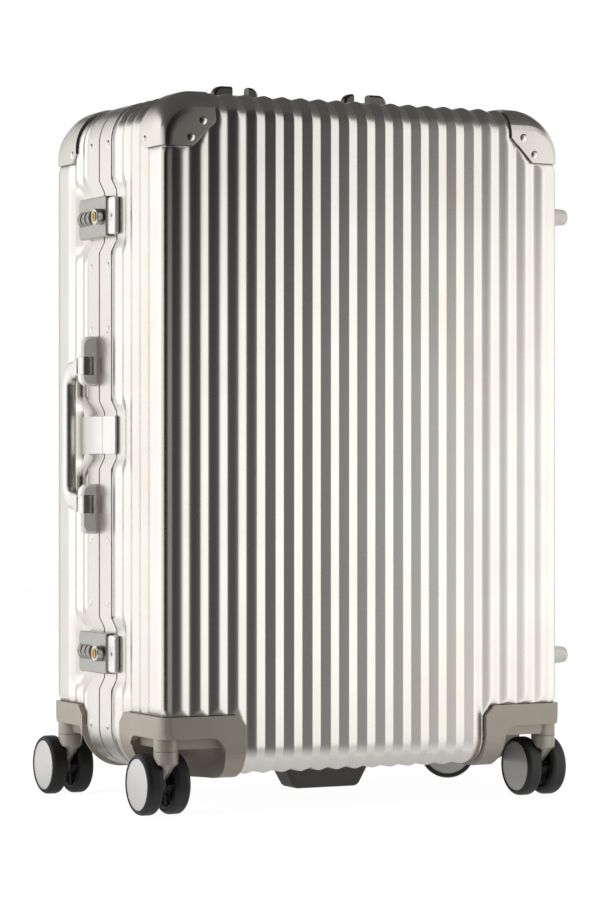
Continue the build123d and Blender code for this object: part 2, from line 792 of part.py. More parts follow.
def key_cylinder(z):
    """Turning lock barrel with a keyway."""
    x, y, z = key_place(z)
    barrel = rod((x, y, z), (x + KEY_PROUD + KEY_LENGTH, y, z), KEY_R)
    keyway = block(
        (x - OVERCUT, x + KEY_LENGTH / 2),
        (y - KEY_SLOT / 2, y + KEY_SLOT / 2),
        (z - KEY_R / 2, z + KEY_R / 2),
    )
    return barrel - keyway


def release_button(z):
    """Round barrel for the key cylinder on a foot that slides in the lock's pocket."""
    near, far = button_limits()
    x_face = SCOOP_BAND_X - LOCK_PROUD
    half = BUTTON_TALL / 2
    foot = block((x_face - MOVE_GAP, x_face + BUTTON_DEPTH - MOVE_GAP), (near, far), (z - half, z + half))
    foot = fillet(foot.edges().filter_by(Axis.X), LOCK_ROUND)
    x, y, z = key_place(z)
    barrel = rod((x_face - BARREL_PROUD, y, z), (x_face - MOVE_GAP, y, z), BARREL_R)
    barrel = chamfer(barrel.edges().filter_by(GeomType.CIRCLE).sort_by(Axis.X)[0], BARREL_EDGE)
    bore = rod((x - OVERCUT, y, z), (x + KEY_PROUD + KEY_LENGTH + MOVE_GAP, y, z), KEY_R + RUN_FIT)
    return barrel + foot - bore


def lock_hasp(z):
    """Striker plate on the front frame that the lock closes on."""
    half = HASP_TALL / 2
    y_near = SPLIT_Y - LOCK_OVERHANG - MOVE_GAP
    y_far = SPLIT_Y - HASP_REACH
    plate = block((SCOOP_BAND_X - HASP_THICK, SCOOP_BAND_X), (y_far, y_near), (z - half, z + half))
    plate = fillet(plate.edges().filter_by(Axis.X), LOCK_ROUND)
    plate = chamfer(plate.faces().sort_by(Axis.X)[0].edges(), LOCK_BEVEL)
    return plate + scoop_step(FRONT, y_far, z, half)


def scoop_step(side, y_end, z, half):
    """Step under a plate's far end that reaches the scoop's floor beside the frame band."""
    start = SPLIT_Y + side * (FRAME_BAND + SEAT_GAP)
    inset = LOCK_ROUND
    return block(
        (SCOOP_BAND_X, SCOOP_FLOOR_X),
        (start, y_end - side * inset),
        (z - half + inset, z + half - inset),
    )


def centre_plate(side, reach):
    """Plain plate of the middle scoop, one on each half."""
    half = PLATE_TALL / 2
    y_near = SPLIT_Y + side * PLATE_SPLIT_GAP / 2
    y_far = SPLIT_Y + side * reach
    plate = block((SCOOP_BAND_X - PLATE_THICK, SCOOP_BAND_X), (y_near, y_far), (MID_Z - half, MID_Z + half))
    plate = fillet(plate.edges().filter_by(Axis.X), LOCK_ROUND)
    return plate + scoop_step(side, y_far, MID_Z, half)


# Carry handles, drawn flat: the pivot line along X, the body's surface at zero height, the grip towards +Y


def handle_bracket(height):
    """Right-hand bracket of a handle: a base with two ears."""
    middle = SLOT_WIDE / 2 + SLOT_OUTER - BRACKET_LONG / 2
    body = block(
        (middle - BRACKET_LONG / 2, middle + BRACKET_LONG / 2),
        (-BRACKET_WIDE / 2, BRACKET_WIDE / 2),
        (0, height),
    )
    ends = body.edges().filter_by(Axis.Y).sort_by(Axis.Z)[-2:]
    body = fillet(ends, BRACKET_ROUND)
    body = chamfer(body.edges().filter_by(Axis.X).sort_by(Axis.Z)[-2:], BRACKET_BEVEL)
    slot = SLOT_WIDE / 2
    body -= block((-slot, slot), (-BRACKET_WIDE, BRACKET_WIDE), (BRACKET_BASE, height + CUT))
    return body - rod((-BRACKET_LONG, 0, PIVOT_RISE), (BRACKET_LONG, 0, PIVOT_RISE), PIN_R + RUN_FIT)


def bracket_ends():
    """Inner and outer end of a bracket, counted from the middle of its slot."""
    outer = SLOT_WIDE / 2 + SLOT_OUTER
    return outer - BRACKET_LONG, outer


def handle_brackets(span, height):
    """Both brackets of one handle."""
    right = Pos(span / 2, 0, 0) * handle_bracket(height)
    return [right, mirrored_x(right)]


def handle_pins(span):
    """Both pivot pins of one handle, a little shorter than the brackets."""
    inner, outer = bracket_ends()
    start = (span / 2 + inner + PIN_INSET, 0, PIVOT_RISE)
    end = (span / 2 + outer - PIN_INSET, 0, PIVOT_RISE)
    right = rod(start, end, PIN_R)
    return [right, mirrored_x(right)]


def carry_handle(span, height):
    """Bow handle for brackets of a height: two eyes, arms that taper outside the slots and a rounded grip."""
    straight = math.hypot(BRACKET_WIDE / 2, height - PIVOT_RISE)
    eye_half = SLOT_WIDE / 2 - MOVE_GAP
    low = PIVOT_RISE - ARM_THICK / 2
    high = PIVOT_RISE + ARM_THICK / 2
    outer = span / 2 + eye_half
    inner = span / 2 - eye_half
    far = GRIP_REACH + GRIP_WIDE / 2
    near = GRIP_REACH - GRIP_WIDE / 2
    end = outer - GRIP_TAPER
    throat = inner - GRIP_TAPER
    bow = make_face(Polyline(
        (outer, 0), (outer, straight), (end, far), (-end, far), (-outer, straight), (-outer, 0),
        (-inner, 0), (-inner, straight), (-throat, near), (throat, near), (inner, straight), (inner, 0),
        close=True,
    ))
    far_corners = bow.vertices().filter_by_position(Axis.Y, far - OVERCUT, far + OVERCUT)
    bow = fillet(far_corners, GRIP_WIDE / 2)
    near_corners = bow.vertices().filter_by_position(Axis.Y, near - OVERCUT, near + OVERCUT)
    bow = fillet(near_corners, GRIP_ROUND)
    body = extrude(Pos(0, 0, low) * bow, high - low)
    body = fillet(body.edges().filter_by(Plane.XY).filter_by_position(Axis.Y, straight, 2 * far), ARM_ROUND)
    for s in (1, -1):
        body += rod((s * inner, 0, PIVOT_RISE), (s * outer, 0, PIVOT_RISE), EYE_R)
    return body - rod((-span, 0, PIVOT_RISE), (span, 0, PIVOT_RISE), PIN_R + RUN_FIT)


def on_top(part):
    """Move a flat-drawn handle piece to the top of the front half's band."""
    return Pos(0, SPLIT_Y - BRACKET_SPLIT_GAP, TOP_Z - BAND_INSET) * part


def on_left_side(part):
    """Move a flat-drawn handle piece to the left side of the rear half's band, its pivot line upright."""
    seat = Plane(
        origin=(BAND_X, SPLIT_Y + SIDE_BRACKET_OFFSET, MID_Z),
        x_dir=(0, 0, 1),
        z_dir=(-1, 0, 0),
    )
    return seat * part


# Trolley


def tube_section(size):
    """Rounded tube outline."""
    return RectangleRounded(size[0], size[1], TUBE_ROUND)


def grown(size, by):
    """A tube size made larger all round."""
    return (size[0] + 2 * by, size[1] + 2 * by)


def tube_pair(size, bore, z_low, z_high):
    """Left and right tube of one trolley stage."""
    shape = tube_section(size)
    if bore:
        shape -= tube_section(bore)
    pair = []
    for s in (1, -1):
        pair.append(extrude(Pos(s * TUBE_SPACING / 2, TROLLEY_Y, z_low) * shape, z_high - z_low))
    return pair


MID_BORE = grown(INNER_TUBE, MOVE_GAP)
MID_TUBE = grown(MID_BORE, TUBE_WALL)
OUTER_BORE = grown(MID_TUBE, MOVE_GAP)
OUTER_TUBE = grown(OUTER_BORE, TUBE_WALL)
BEZEL_BASE_Z = TOP_Z - BEZEL_SINK
GRIP_BASE_Z = BEZEL_BASE_Z + BEZEL_FLOOR + MOVE_GAP
MID_LOW_Z = TUBE_FOOT + STAGE_OVERLAP
INNER_LOW_Z = MID_LOW_Z + STAGE_OVERLAP


def bezel_block(grow):
    """Space that the trolley bezel takes in the top of the rear half."""
    half = BEZEL_WIDE / 2 + grow
    deep = BEZEL_DEEP / 2 + grow
    body = block(
        (-half, half),
        (TROLLEY_Y - deep, TROLLEY_Y + deep),
        (BEZEL_BASE_Z - grow, TOP_Z + CUT),
    )
    return fillet(body.edges().filter_by(Axis.Z), BEZEL_ROUND + grow)


def trolley_bezel():
    """Cup in the rear half's top that takes the lowered grip, with holes for the tubes."""
    half = GRIP_BAR_WIDE / 2 + MOVE_GAP
    deep = GRIP_BAR_DEEP / 2 + MOVE_GAP
    body = bezel_block(0.0) & smooth_body(REAR, -BEZEL_PROUD)
    hollow = block(
        (-half, half),
        (TROLLEY_Y - deep, TROLLEY_Y + deep),
        (BEZEL_BASE_Z + BEZEL_FLOOR, TOP_Z + CUT),
    )
    body -= fillet(hollow.edges().filter_by(Axis.Z), GRIP_BAR_ROUND)
    for hole in tube_pair(OUTER_BORE, None, BEZEL_BASE_Z - CUT, TOP_Z):
        body -= hole
    return body


def trolley_grip():
    """Rounded grip bar with a pocket for its button."""
    half = GRIP_BAR_WIDE / 2
    deep = GRIP_BAR_DEEP / 2
    z_top = GRIP_BASE_Z + GRIP_BAR_TALL
    bar = block((-half, half), (TROLLEY_Y - deep, TROLLEY_Y + deep), (GRIP_BASE_Z, z_top))
    bar = fillet(bar.edges().filter_by(Axis.Z), GRIP_BAR_ROUND)
    bar = fillet(bar.faces().sort_by(Axis.Z)[-1].edges(), GRIP_BAR_EDGE)
    return bar - trolley_button_space(MOVE_GAP, TROLLEY_BUTTON_TRAVEL)


def trolley_button_space(grow, sink):
    """Rounded block of the trolley button, grown for its pocket."""
    half = TROLLEY_BUTTON_WIDE / 2 + grow
    deep = TROLLEY_BUTTON_DEEP / 2 + grow
    z_top = GRIP_BASE_Z + GRIP_BAR_TALL + TROLLEY_BUTTON_PROUD
    z_low = z_top - TROLLEY_BUTTON_TALL - sink - grow
    body = block((-half, half), (TROLLEY_Y - deep, TROLLEY_Y + deep), (z_low, z_top))
    return fillet(body.edges().filter_by(Axis.Z), TROLLEY_BUTTON_ROUND + grow)


# Hinges, feet and bottom grip


def hinge_leaf(side, z):
    """Leaf of one right-side hinge: outer knuckles on the rear leaf, a middle one on the front leaf."""
    low = z - HINGE_TALL / 2
    high = z + HINGE_TALL / 2
    near = HINGE_MID_SHARE / 2
    x_band = HALF_W - BAND_INSET
    start = SPLIT_Y + side * HINGE_LEAF_START
    plate = block((x_band, x_band + HINGE_LEAF_THICK), (start, start + side * HINGE_LEAF_WIDE), (low, high))
    spans = [(z - near + MOVE_GAP, z + near - MOVE_GAP)]
    if side == REAR:
        spans = [(low, z - near), (z + near, high)]
    for z0, z1 in spans:
        plate += rod((HINGE_X, SPLIT_Y, z0), (HINGE_X, SPLIT_Y, z1), HINGE_KNUCKLE_R)
        root = start + side * HINGE_LEAF_THICK
        arm = block((x_band, HINGE_X), (SPLIT_Y + side * MOVE_GAP, root), (z0, z1))
        plate += arm & rod((HINGE_X, start, z0), (HINGE_X, start, z1), HINGE_OFFSET + HINGE_LEAF_START)
    bore = rod((HINGE_X, SPLIT_Y, low - OVERCUT), (HINGE_X, SPLIT_Y, high + OVERCUT), HINGE_PIN_R + RUN_FIT)
    return plate - bore


def hinge_pin(z):
    """Pin through the knuckles of one hinge."""
    half = HINGE_TALL / 2
    return rod((HINGE_X, SPLIT_Y, z - half), (HINGE_X, SPLIT_Y, z + half), HINGE_PIN_R)


def side_feet(side):
    """Tapered feet on the right side, for laying the case down."""
    feet = []
    for z in (MID_Z - FOOT_SPACING / 2, MID_Z + FOOT_SPACING / 2):
        base = Plane(origin=(HALF_W, side * (WALL - FOOT_EDGE_INSET), z), z_dir=(1, 0, 0))
        foot = Cone(FOOT_R, FOOT_TIP_R, FOOT_LENGTH, align=(Align.CENTER, Align.CENTER, Align.MIN))
        foot = fillet(foot.faces().sort_by(Axis.Z)[-1].edges(), FOOT_ROUND)
        feet.append(base * foot)
    return feet


def bottom_grip():
    """Moulded pull under the front half, with a hollow behind its lip for the fingers."""
    y_rear = SPLIT_Y - PULL_SPLIT_GAP
    y_front = y_rear - PULL_DEEP
    z_low = BODY_LIFT - PULL_DROP
    top = PULL_TOP_WIDE / 2
    low = PULL_BOTTOM_WIDE / 2
    body = prism(
        [(-top, y_rear, BODY_LIFT), (top, y_rear, BODY_LIFT), (low, y_rear, z_low), (-low, y_rear, z_low)],
        (0, -PULL_DEEP, 0),
    )
    lower = [e for e in body.edges().filter_by(Axis.Y) if abs(e.center().Z - z_low) < OVERCUT]
    body = fillet(lower, PULL_ROUND)
    front = body.faces().sort_by(Axis.Y)[0].edges()
    body = fillet([e for e in front if e.center().Z < BODY_LIFT - OVERCUT], PULL_EDGE)
    hollow = block(
        (-low + PULL_WALL, low - PULL_WALL),
        (y_front + PULL_WALL, y_rear + CUT),
        (z_low + PULL_FLOOR, BODY_LIFT),
    )
    return body - hollow


# Linings, straps and pocket


def lining(side, floor):
    """Fabric-covered tray inside one half, drawn round the wheel wells and the trolley bezel."""
    inset = FRAME_REACH + SEAT_GAP
    y_edge = SPLIT_Y + side * SEAL_HALF
    body = None
    for grow in (0.0, LINING_THICK):
        space = slab(outline(inset + grow), y_edge - side * grow, side * (WALL - floor - grow))
        face = space.faces().sort_by(Axis.Y)[-1 if side > 0 else 0]
        space = fillet(face.edges(), LINING_R - inset + LINING_THICK - grow)
        gap = 2 * SEAT_GAP + grow
        for point in swivel_points(side):
            space -= well_column(point, WELL_R + WELL_WALL + gap, WELL_TOP + BOSS_RISE + gap)
        if side == REAR:
            space -= bezel_block(gap)
        body = space if body is None else body - space
    return body


def packing_straps():
    """Two flat webbing straps on the rear lining."""
    floor = WALL - REAR_LINING_FLOOR - LINING_THICK
    half = HALF_W - FRAME_REACH - STRAP_MARGIN
    wide = STRAP_WIDE / 2
    straps = []
    for z in (MID_Z - STRAP_SPACING / 2, MID_Z + STRAP_SPACING / 2):
        straps.append(block((-half, half), (floor - STRAP_THICK, floor), (z - wide, z + wide)))
    return straps


def strap_buckles():
    """Clip buckle in the middle of each packing strap."""
    face = WALL - REAR_LINING_FLOOR - LINING_THICK - STRAP_THICK
    buckles = []
    for z in (MID_Z - STRAP_SPACING / 2, MID_Z + STRAP_SPACING / 2):
        body = block(
            (-BUCKLE_LONG / 2, BUCKLE_LONG / 2),
            (face - BUCKLE_THICK, face),
            (z - BUCKLE_WIDE / 2, z + BUCKLE_WIDE / 2),
        )
        body = fillet(body.edges().filter_by(Axis.Y), BUCKLE_ROUND)
        buckles.append(fillet(body.faces().sort_by(Axis.Y)[0].edges(), BUCKLE_EDGE))
    return buckles


def front_pocket():
    """Flat zipped pocket on the front lining."""
    floor = -(WALL - FRONT_LINING_FLOOR - LINING_THICK)
    shape = Pos(0, MID_Z) * RectangleRounded(POCKET_WIDE, POCKET_TALL, POCKET_ROUND)
    return slab(shape, floor + POCKET_THICK, floor)


# Casters in their places


def at_caster(part, point, turn):
    """Put a caster piece on its swivel axis, turned about it."""
    return Pos(point[0], point[1], 0) * Rot(0, 0, turn) * part


def caster_nodes():
    """Forks and wheels of all four casters, by node name."""
    nodes = {}
    fork = caster_fork()
    wheels = {"left": caster_wheel(-1), "right": caster_wheel(1)}
    for half, side in (("front", FRONT), ("rear", REAR)):
        for hand, point in zip(("left", "right"), swivel_points(side)):
            turn = TURNED_SWIVEL if (half, hand) == ("rear", "right") else 0.0
            nodes[f"{half}_{hand}_fork"] = [at_caster(p, point, turn) for p in fork]
            for wheel, pieces in wheels.items():
                nodes[f"{half}_{hand}_{wheel}_wheel"] = [at_caster(p, point, turn) for p in pieces]
    return nodes


def lock_nodes():
    """Dials, key cylinders and release buttons of both locks, by node name."""
    nodes = {}
    for place, z in zip(("upper", "lower"), LOCK_ZS):
        for index in range(DIAL_COUNT):
            nodes[f"{place}_dial_{index + 1}"] = [lock_dial(z, index)]
        nodes[f"{place}_key_cylinder"] = [key_cylinder(z)]
        nodes[f"{place}_release_button"] = [release_button(z)]
    return nodes


def riveted(side, shell_body, frame_body, guards):
    """Rivets of one half, and the shell, frame and guards with holes for them."""
    band_grip = BAND_THICK + SHEET
    guard_grip = GUARD_PROUD + LAND + SHEET
    rivets = []
    for point, outward in band_rivet_places(side):
        rivets.append(rivet(point, outward, band_grip))
        hole = rivet_hole(point, outward, band_grip)
        shell_body -= hole
        frame_body -= hole
    for point, outward in guard_rivet_places(side):
        rivets.append(rivet(point, outward, guard_grip))
        hole = rivet_hole(point, outward, guard_grip)
        shell_body -= hole
        guards = [guard - hole for guard in guards]
    return rivets, shell_body, frame_body, guards


def all_nodes():
    """Every piece of the suitcase, by node name."""
    nodes = {}
    for half, side in (("front", FRONT), ("rear", REAR)):
        plain = (shell(side), frame(side), corner_guards(side))
        rivets, shell_body, frame_body, guards = riveted(side, *plain)
        nodes[f"{half}_shell"] = [shell_body]
        nodes[f"{half}_frame"] = [frame_body]
        nodes[f"{half}_corner_guards"] = guards
        nodes[f"{half}_rivets"] = rivets
        nodes[f"{half}_caster_housings"] = caster_housings(side)
        nodes[f"{half}_side_feet"] = side_feet(side)
        nodes[f"{half}_hinge_leaves"] = [hinge_leaf(side, z) for z in HINGE_ZS]
    nodes["front_lining"] = [lining(FRONT, FRONT_LINING_FLOOR)]
    nodes["rear_lining"] = [lining(REAR, REAR_LINING_FLOOR)]
    nodes["frame_seal"] = [seal()]
    nodes["hinge_pins"] = [hinge_pin(z) for z in HINGE_ZS]
    nodes["lock_cases"] = [lock_case(z) for z in LOCK_ZS]
    nodes["lock_hasps"] = [lock_hasp(z) for z in LOCK_ZS]
    nodes["centre_plate"] = [centre_plate(REAR, PLATE_REAR)]
    nodes["centre_striker"] = [centre_plate(FRONT, PLATE_FRONT)]
    side_brackets = handle_brackets(SIDE_HANDLE_SPAN, SIDE_BRACKET_HEIGHT)
    nodes["side_handle_brackets"] = [on_left_side(p) for p in side_brackets]
    nodes["side_handle_pins"] = [on_left_side(p) for p in handle_pins(SIDE_HANDLE_SPAN)]
    nodes["side_handle"] = [on_left_side(carry_handle(SIDE_HANDLE_SPAN, SIDE_BRACKET_HEIGHT))]
    top_brackets = handle_brackets(TOP_HANDLE_SPAN, TOP_BRACKET_HEIGHT)
    nodes["top_handle_brackets"] = [on_top(p) for p in top_brackets]
    nodes["top_handle_pins"] = [on_top(p) for p in handle_pins(TOP_HANDLE_SPAN)]
    nodes["top_handle"] = [on_top(carry_handle(TOP_HANDLE_SPAN, TOP_BRACKET_HEIGHT))]
    nodes["trolley_bezel"] = [trolley_bezel()]
    nodes["trolley_outer_tubes"] = tube_pair(OUTER_TUBE, OUTER_BORE, TUBE_FOOT, BEZEL_BASE_Z)
    nodes["trolley_middle_tubes"] = tube_pair(MID_TUBE, MID_BORE, MID_LOW_Z, GRIP_BASE_Z - MOVE_GAP)
    nodes["trolley_inner_tubes"] = tube_pair(INNER_TUBE, None, INNER_LOW_Z, GRIP_BASE_Z)
    nodes["trolley_grip"] = [trolley_grip()]
    nodes["trolley_button"] = [trolley_button_space(0.0, 0.0)]
    nodes["bottom_grip"] = [bottom_grip()]
    nodes["packing_straps"] = packing_straps()
    nodes["strap_buckles"] = strap_buckles()
    nodes["front_pocket"] = [front_pocket()]
    nodes.update(lock_nodes())
    nodes.update(caster_nodes())
    return nodes


def one_shape(pieces):
    """The solids of one node as one shape."""
    return Compound([solid for piece in pieces for solid in piece.solids()])


NODES = {name: one_shape(pieces) for name, pieces in all_nodes().items()}
WHOLE = Compound(list(NODES.values())).bounding_box()
ORIGIN = ((WHOLE.min.X + WHOLE.max.X) / 2, (WHOLE.min.Y + WHOLE.max.Y) / 2)

os.makedirs("parts", exist_ok=True)
for name, shape in NODES.items():
    export_step(shape.moved(Location((-ORIGIN[0], -ORIGIN[1], 0))), f"parts/{name}.step")
print("nodes", len(NODES), "origin", ORIGIN, "size", WHOLE.size)
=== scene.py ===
import json
import logging
import math
from dataclasses import dataclass, field
from enum import Enum
from typing import Any, Callable, Sequence

import bmesh
import bpy
import numpy as np
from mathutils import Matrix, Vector


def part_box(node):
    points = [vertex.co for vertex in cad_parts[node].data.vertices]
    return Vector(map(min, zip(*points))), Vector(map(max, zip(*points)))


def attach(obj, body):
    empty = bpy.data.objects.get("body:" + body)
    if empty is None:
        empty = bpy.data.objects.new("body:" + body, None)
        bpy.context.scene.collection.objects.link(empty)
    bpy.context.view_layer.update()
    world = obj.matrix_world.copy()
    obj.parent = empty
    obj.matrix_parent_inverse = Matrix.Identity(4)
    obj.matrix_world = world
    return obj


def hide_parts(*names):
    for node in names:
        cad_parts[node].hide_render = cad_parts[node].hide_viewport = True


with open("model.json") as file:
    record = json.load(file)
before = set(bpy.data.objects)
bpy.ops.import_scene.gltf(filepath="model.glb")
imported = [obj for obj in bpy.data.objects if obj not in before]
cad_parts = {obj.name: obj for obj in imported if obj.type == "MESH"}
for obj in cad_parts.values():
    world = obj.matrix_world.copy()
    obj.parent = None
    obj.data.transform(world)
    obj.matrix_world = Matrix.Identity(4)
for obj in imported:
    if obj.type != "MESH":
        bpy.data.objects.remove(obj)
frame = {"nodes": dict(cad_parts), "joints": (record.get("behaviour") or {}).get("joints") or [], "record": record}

# Looks of a ribbed aluminium suitcase on casters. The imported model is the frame; this file gives it fine
# pressed shells, turned wheels, lock numbers, linings and finishes, and sets up the studio round it.

LOG = logging.getLogger("suitcase")
MM = 0.001
WHITE = (1.0, 1.0, 1.0, 1.0)
# Colour inputs of a Mix node, which share their names with its other inputs
MIX_FIRST, MIX_SECOND = 6, 7
# A Wave node repeats at this period when its scale is one
WAVE_PERIOD = 2 * math.pi / 20

Array = np.ndarray
Tree = bpy.types.NodeTree
Node = bpy.types.Node
Socket = bpy.types.NodeSocket
Mesh = bpy.types.Mesh
Piece = bpy.types.Object


# Colours and nodes


def linear(code: str) -> tuple[float, float, float, float]:
    """Turn an sRGB hex colour into linear light.

    Args:
        code: Colour as #RRGGBB.

    Returns:
        Red, green, blue and an alpha of one.
    """
    srgb = np.array([int(code[i:i + 2], 16) for i in (1, 3, 5)]) / 255.0
    r, g, b = np.where(srgb <= 0.04045, srgb / 12.92, ((srgb + 0.055) / 1.055) ** 2.4)
    return float(r), float(g), float(b), 1.0


def fresh_tree(holder: bpy.types.Material | bpy.types.World) -> Tree:
    """Switch on the nodes of a material or a world, and empty them.

    Args:
        holder: The material or world.

    Returns:
        Its empty node tree.
    """
    holder.use_nodes = True
    holder.node_tree.nodes.clear()
    return holder.node_tree


def add_node(tree: Tree, kind: str, inputs: dict | None = None, **settings: Any) -> Node:
    """Add a node, set its properties, and fill or link its inputs.

    Args:
        tree: Node tree that gets the node.
        kind: Node type.
        inputs: Input name or number to a value, or to the output socket that feeds it.
        settings: Properties of the node itself.

    Returns:
        The new node.
    """
    node = tree.nodes.new(kind)
    for key, value in settings.items():
        setattr(node, key, value)
    for key, value in (inputs or {}).items():
        if isinstance(value, Socket):
            tree.links.new(value, node.inputs[key])
        else:
            node.inputs[key].default_value = value
    return node


def noise_scale(size_mm: float) -> float:
    """Noise scale whose blotches are about this many millimetres across."""
    return 1.0 / (size_mm * MM)


def wave_scale(pitch_mm: float) -> float:
    """Band scale whose bands repeat at this pitch in millimetres."""
    return WAVE_PERIOD / (pitch_mm * MM)


# Finishes


@dataclass(frozen=True)
class Finish:
    """What every finish has: a name, a base colour with a second shade of it, and a roughness."""

    name: str
    colour: str
    shade: str
    roughness: float

    def material(self) -> bpy.types.Material:
        """Make the finish's material the first time, and find it again after that.

        Returns:
            The material.
        """
        found = bpy.data.materials.get(self.name)
        if found:
            return found
        made = bpy.data.materials.new(self.name)
        tree = fresh_tree(made)
        shader = add_node(tree, "ShaderNodeBsdfPrincipled", {"Roughness": self.roughness})
        add_node(tree, "ShaderNodeOutputMaterial", {"Surface": shader.outputs["BSDF"]})
        self.dress(tree, shader)
        return made

    def dress(self, tree: Tree, shader: Node) -> None:
        """Add the finish's own patterns to its shader."""
        raise NotImplementedError

    def clouds(self, tree: Tree, place: Socket, size_mm: float) -> Socket:
        """Soft blotches of a real size, for small differences of colour and gloss."""
        blotches = {"Vector": place, "Scale": noise_scale(size_mm), "Detail": 3.0}
        return add_node(tree, "ShaderNodeTexNoise", blotches).outputs["Fac"]

    def mix(self, tree: Tree, shader: Node, factor: Socket, low: Any, high: Any) -> None:
        """Mix two colours by a factor, into the shader's base colour.

        Args:
            tree: Node tree of the material.
            shader: Its shader.
            factor: Pattern that mixes them.
            low: Colour, or socket with one, where the pattern is zero.
            high: The same where it is one.
        """
        colours = {0: factor, MIX_FIRST: low, MIX_SECOND: high}
        blend = add_node(tree, "ShaderNodeMix", colours, data_type="RGBA")
        mixed = next(s for s in blend.outputs if s.type == "RGBA")
        tree.links.new(mixed, shader.inputs["Base Color"])

    def tint(self, tree: Tree, shader: Node, factor: Socket) -> None:
        """Mix the colour and its shade by a pattern, into the shader's base colour."""
        self.mix(tree, shader, factor, linear(self.colour), linear(self.shade))

    def gloss(self, tree: Tree, shader: Node, factor: Socket, spread: float) -> None:
        """Let the roughness wander with a pattern.

        Args:
            tree: Node tree of the material.
            shader: Its shader.
            factor: The pattern.
            spread: Width of the roughness range, half of it each way.
        """
        low, high = self.roughness - spread / 2, self.roughness + spread / 2
        drift = add_node(tree, "ShaderNodeMapRange", {"Value": factor, "To Min": low, "To Max": high})
        tree.links.new(drift.outputs["Result"], shader.inputs["Roughness"])

    def clouded(self, tree: Tree, shader: Node, size_mm: float, spread: float) -> tuple[Socket, Socket]:
        """Let the colour and the gloss wander together in soft blotches over the object.

        Args:
            tree: Node tree of the material.
            shader: Its shader.
            size_mm: Width of a blotch.
            spread: Width of the roughness range.

        Returns:
            The object's coordinates and the blotches.
        """
        place = add_node(tree, "ShaderNodeTexCoord").outputs["Object"]
        cloud = self.clouds(tree, place, size_mm)
        self.tint(tree, shader, cloud)
        self.gloss(tree, shader, cloud, spread)
        return place, cloud

    def relief(self, tree: Tree, shader: Node, height: Socket, depth_mm: float) -> None:
        """Raise a pattern from the surface by a real depth."""
        bump = add_node(tree, "ShaderNodeBump", {"Height": height, "Distance": depth_mm * MM, "Strength": 1})
        tree.links.new(bump.outputs["Normal"], shader.inputs["Normal"])

    def woven(self, tree: Tree, warp: dict, weft: dict, warp_way: str, weft_way: str) -> Socket:
        """Cross two sets of bands by multiplying them.

        Args:
            tree: Node tree of the material.
            warp: Inputs of the first set.
            weft: Inputs of the second set.
            warp_way: Axis that the first set's bands follow one another along.
            weft_way: The same of the second set.

        Returns:
            The weave, one on the crossings.
        """
        first = add_node(tree, "ShaderNodeTexWave", warp, bands_direction=warp_way)
        second = add_node(tree, "ShaderNodeTexWave", weft, bands_direction=weft_way)
        both = {0: first.outputs["Fac"], 1: second.outputs["Fac"]}
        return add_node(tree, "ShaderNodeMath", both, operation="MULTIPLY").outputs[0]


@dataclass(frozen=True)
class SatinMetal(Finish):
    """Anodised or blasted metal: a fine matt grain that spreads highlights, with faint clouds of gloss.

    Real grain of 0.1 mm is too fine to show, so it is drawn as coarse as grain_mm.
    """

    grain_mm: tuple[float, float, float] = (0.7, 0.7, 0.7)
    grain_depth_mm: float = 0.004
    cloud_mm: float = 60.0
    spread: float = 0.05

    def dress(self, tree: Tree, shader: Node) -> None:
        """Metal with a grain that may run one way, as on drawn tubes and pins.

        Args:
            tree: Node tree of the material.
            shader: Its shader.
        """
        shader.inputs["Metallic"].default_value = 1.0
        place, _ = self.clouded(tree, shader, self.cloud_mm, self.spread)
        if not self.grain_depth_mm:
            return
        stretch = tuple(noise_scale(size) for size in self.grain_mm)
        along = add_node(tree, "ShaderNodeMapping", {"Vector": place, "Scale": stretch})
        lines = {"Vector": along.outputs["Vector"], "Scale": 1.0, "Detail": 2.0}
        grain = add_node(tree, "ShaderNodeTexNoise", lines)
        self.relief(tree, shader, grain.outputs["Fac"], self.grain_depth_mm)


@dataclass(frozen=True)
class SealedSheet(SatinMetal):
    """Pressed sheet with a painted dark shadow line round each corner fitting, where the gap at its edge is in
    shade.
    """

    # Colour and width of the painted shadow line at each fitting's edge
    bead: str = "#15130F"
    bead_mm: float = 0.7

    def dress(self, tree: Tree, shader: Node) -> None:
        """Satin metal, and a dull painted shadow line where the point attribute says that a fitting is close.

        Args:
            tree: Node tree of the material.
            shader: Its shader.
        """
        super().dress(tree, shader)
        sheet = shader.inputs["Base Color"].links[0].from_socket
        away = add_node(tree, "ShaderNodeAttribute", attribute_name="from_fitting").outputs["Fac"]
        # A painted dark line stands in for the shade in the gap at each fitting's edge
        bead = add_node(tree, "ShaderNodeMath", {0: away, 1: self.bead_mm}, operation="LESS_THAN").outputs[0]
        self.mix(tree, shader, bead, sheet, linear(self.bead))
        metal = add_node(tree, "ShaderNodeMath", {0: 1.0, 1: bead}, operation="SUBTRACT")
        tree.links.new(metal.outputs[0], shader.inputs["Metallic"])


@dataclass(frozen=True)
class MouldedPlastic(Finish):
    """Moulded plastic: the tool's eroded texture shows as a fine pebble, and flow marks as faint clouds.

    Real pebbles of 0.2 mm are too fine to show, so they are drawn as coarse as pebble_mm.
    """

    pebble_mm: float = 1.1
    pebble_depth_mm: float = 0.03
    cloud_mm: float = 35.0
    spread: float = 0.08
    ior: float = 1.5

    def dress(self, tree: Tree, shader: Node) -> None:
        """Plastic with a pebbled skin.

        Args:
            tree: Node tree of the material.
            shader: Its shader.
        """
        shader.inputs["IOR"].default_value = self.ior
        place, _ = self.clouded(tree, shader, self.cloud_mm, self.spread)
        cells = {"Vector": place, "Scale": noise_scale(self.pebble_mm)}
        pebble = add_node(tree, "ShaderNodeTexVoronoi", cells, feature="SMOOTH_F1")
        self.relief(tree, shader, pebble.outputs["Distance"], self.pebble_depth_mm)


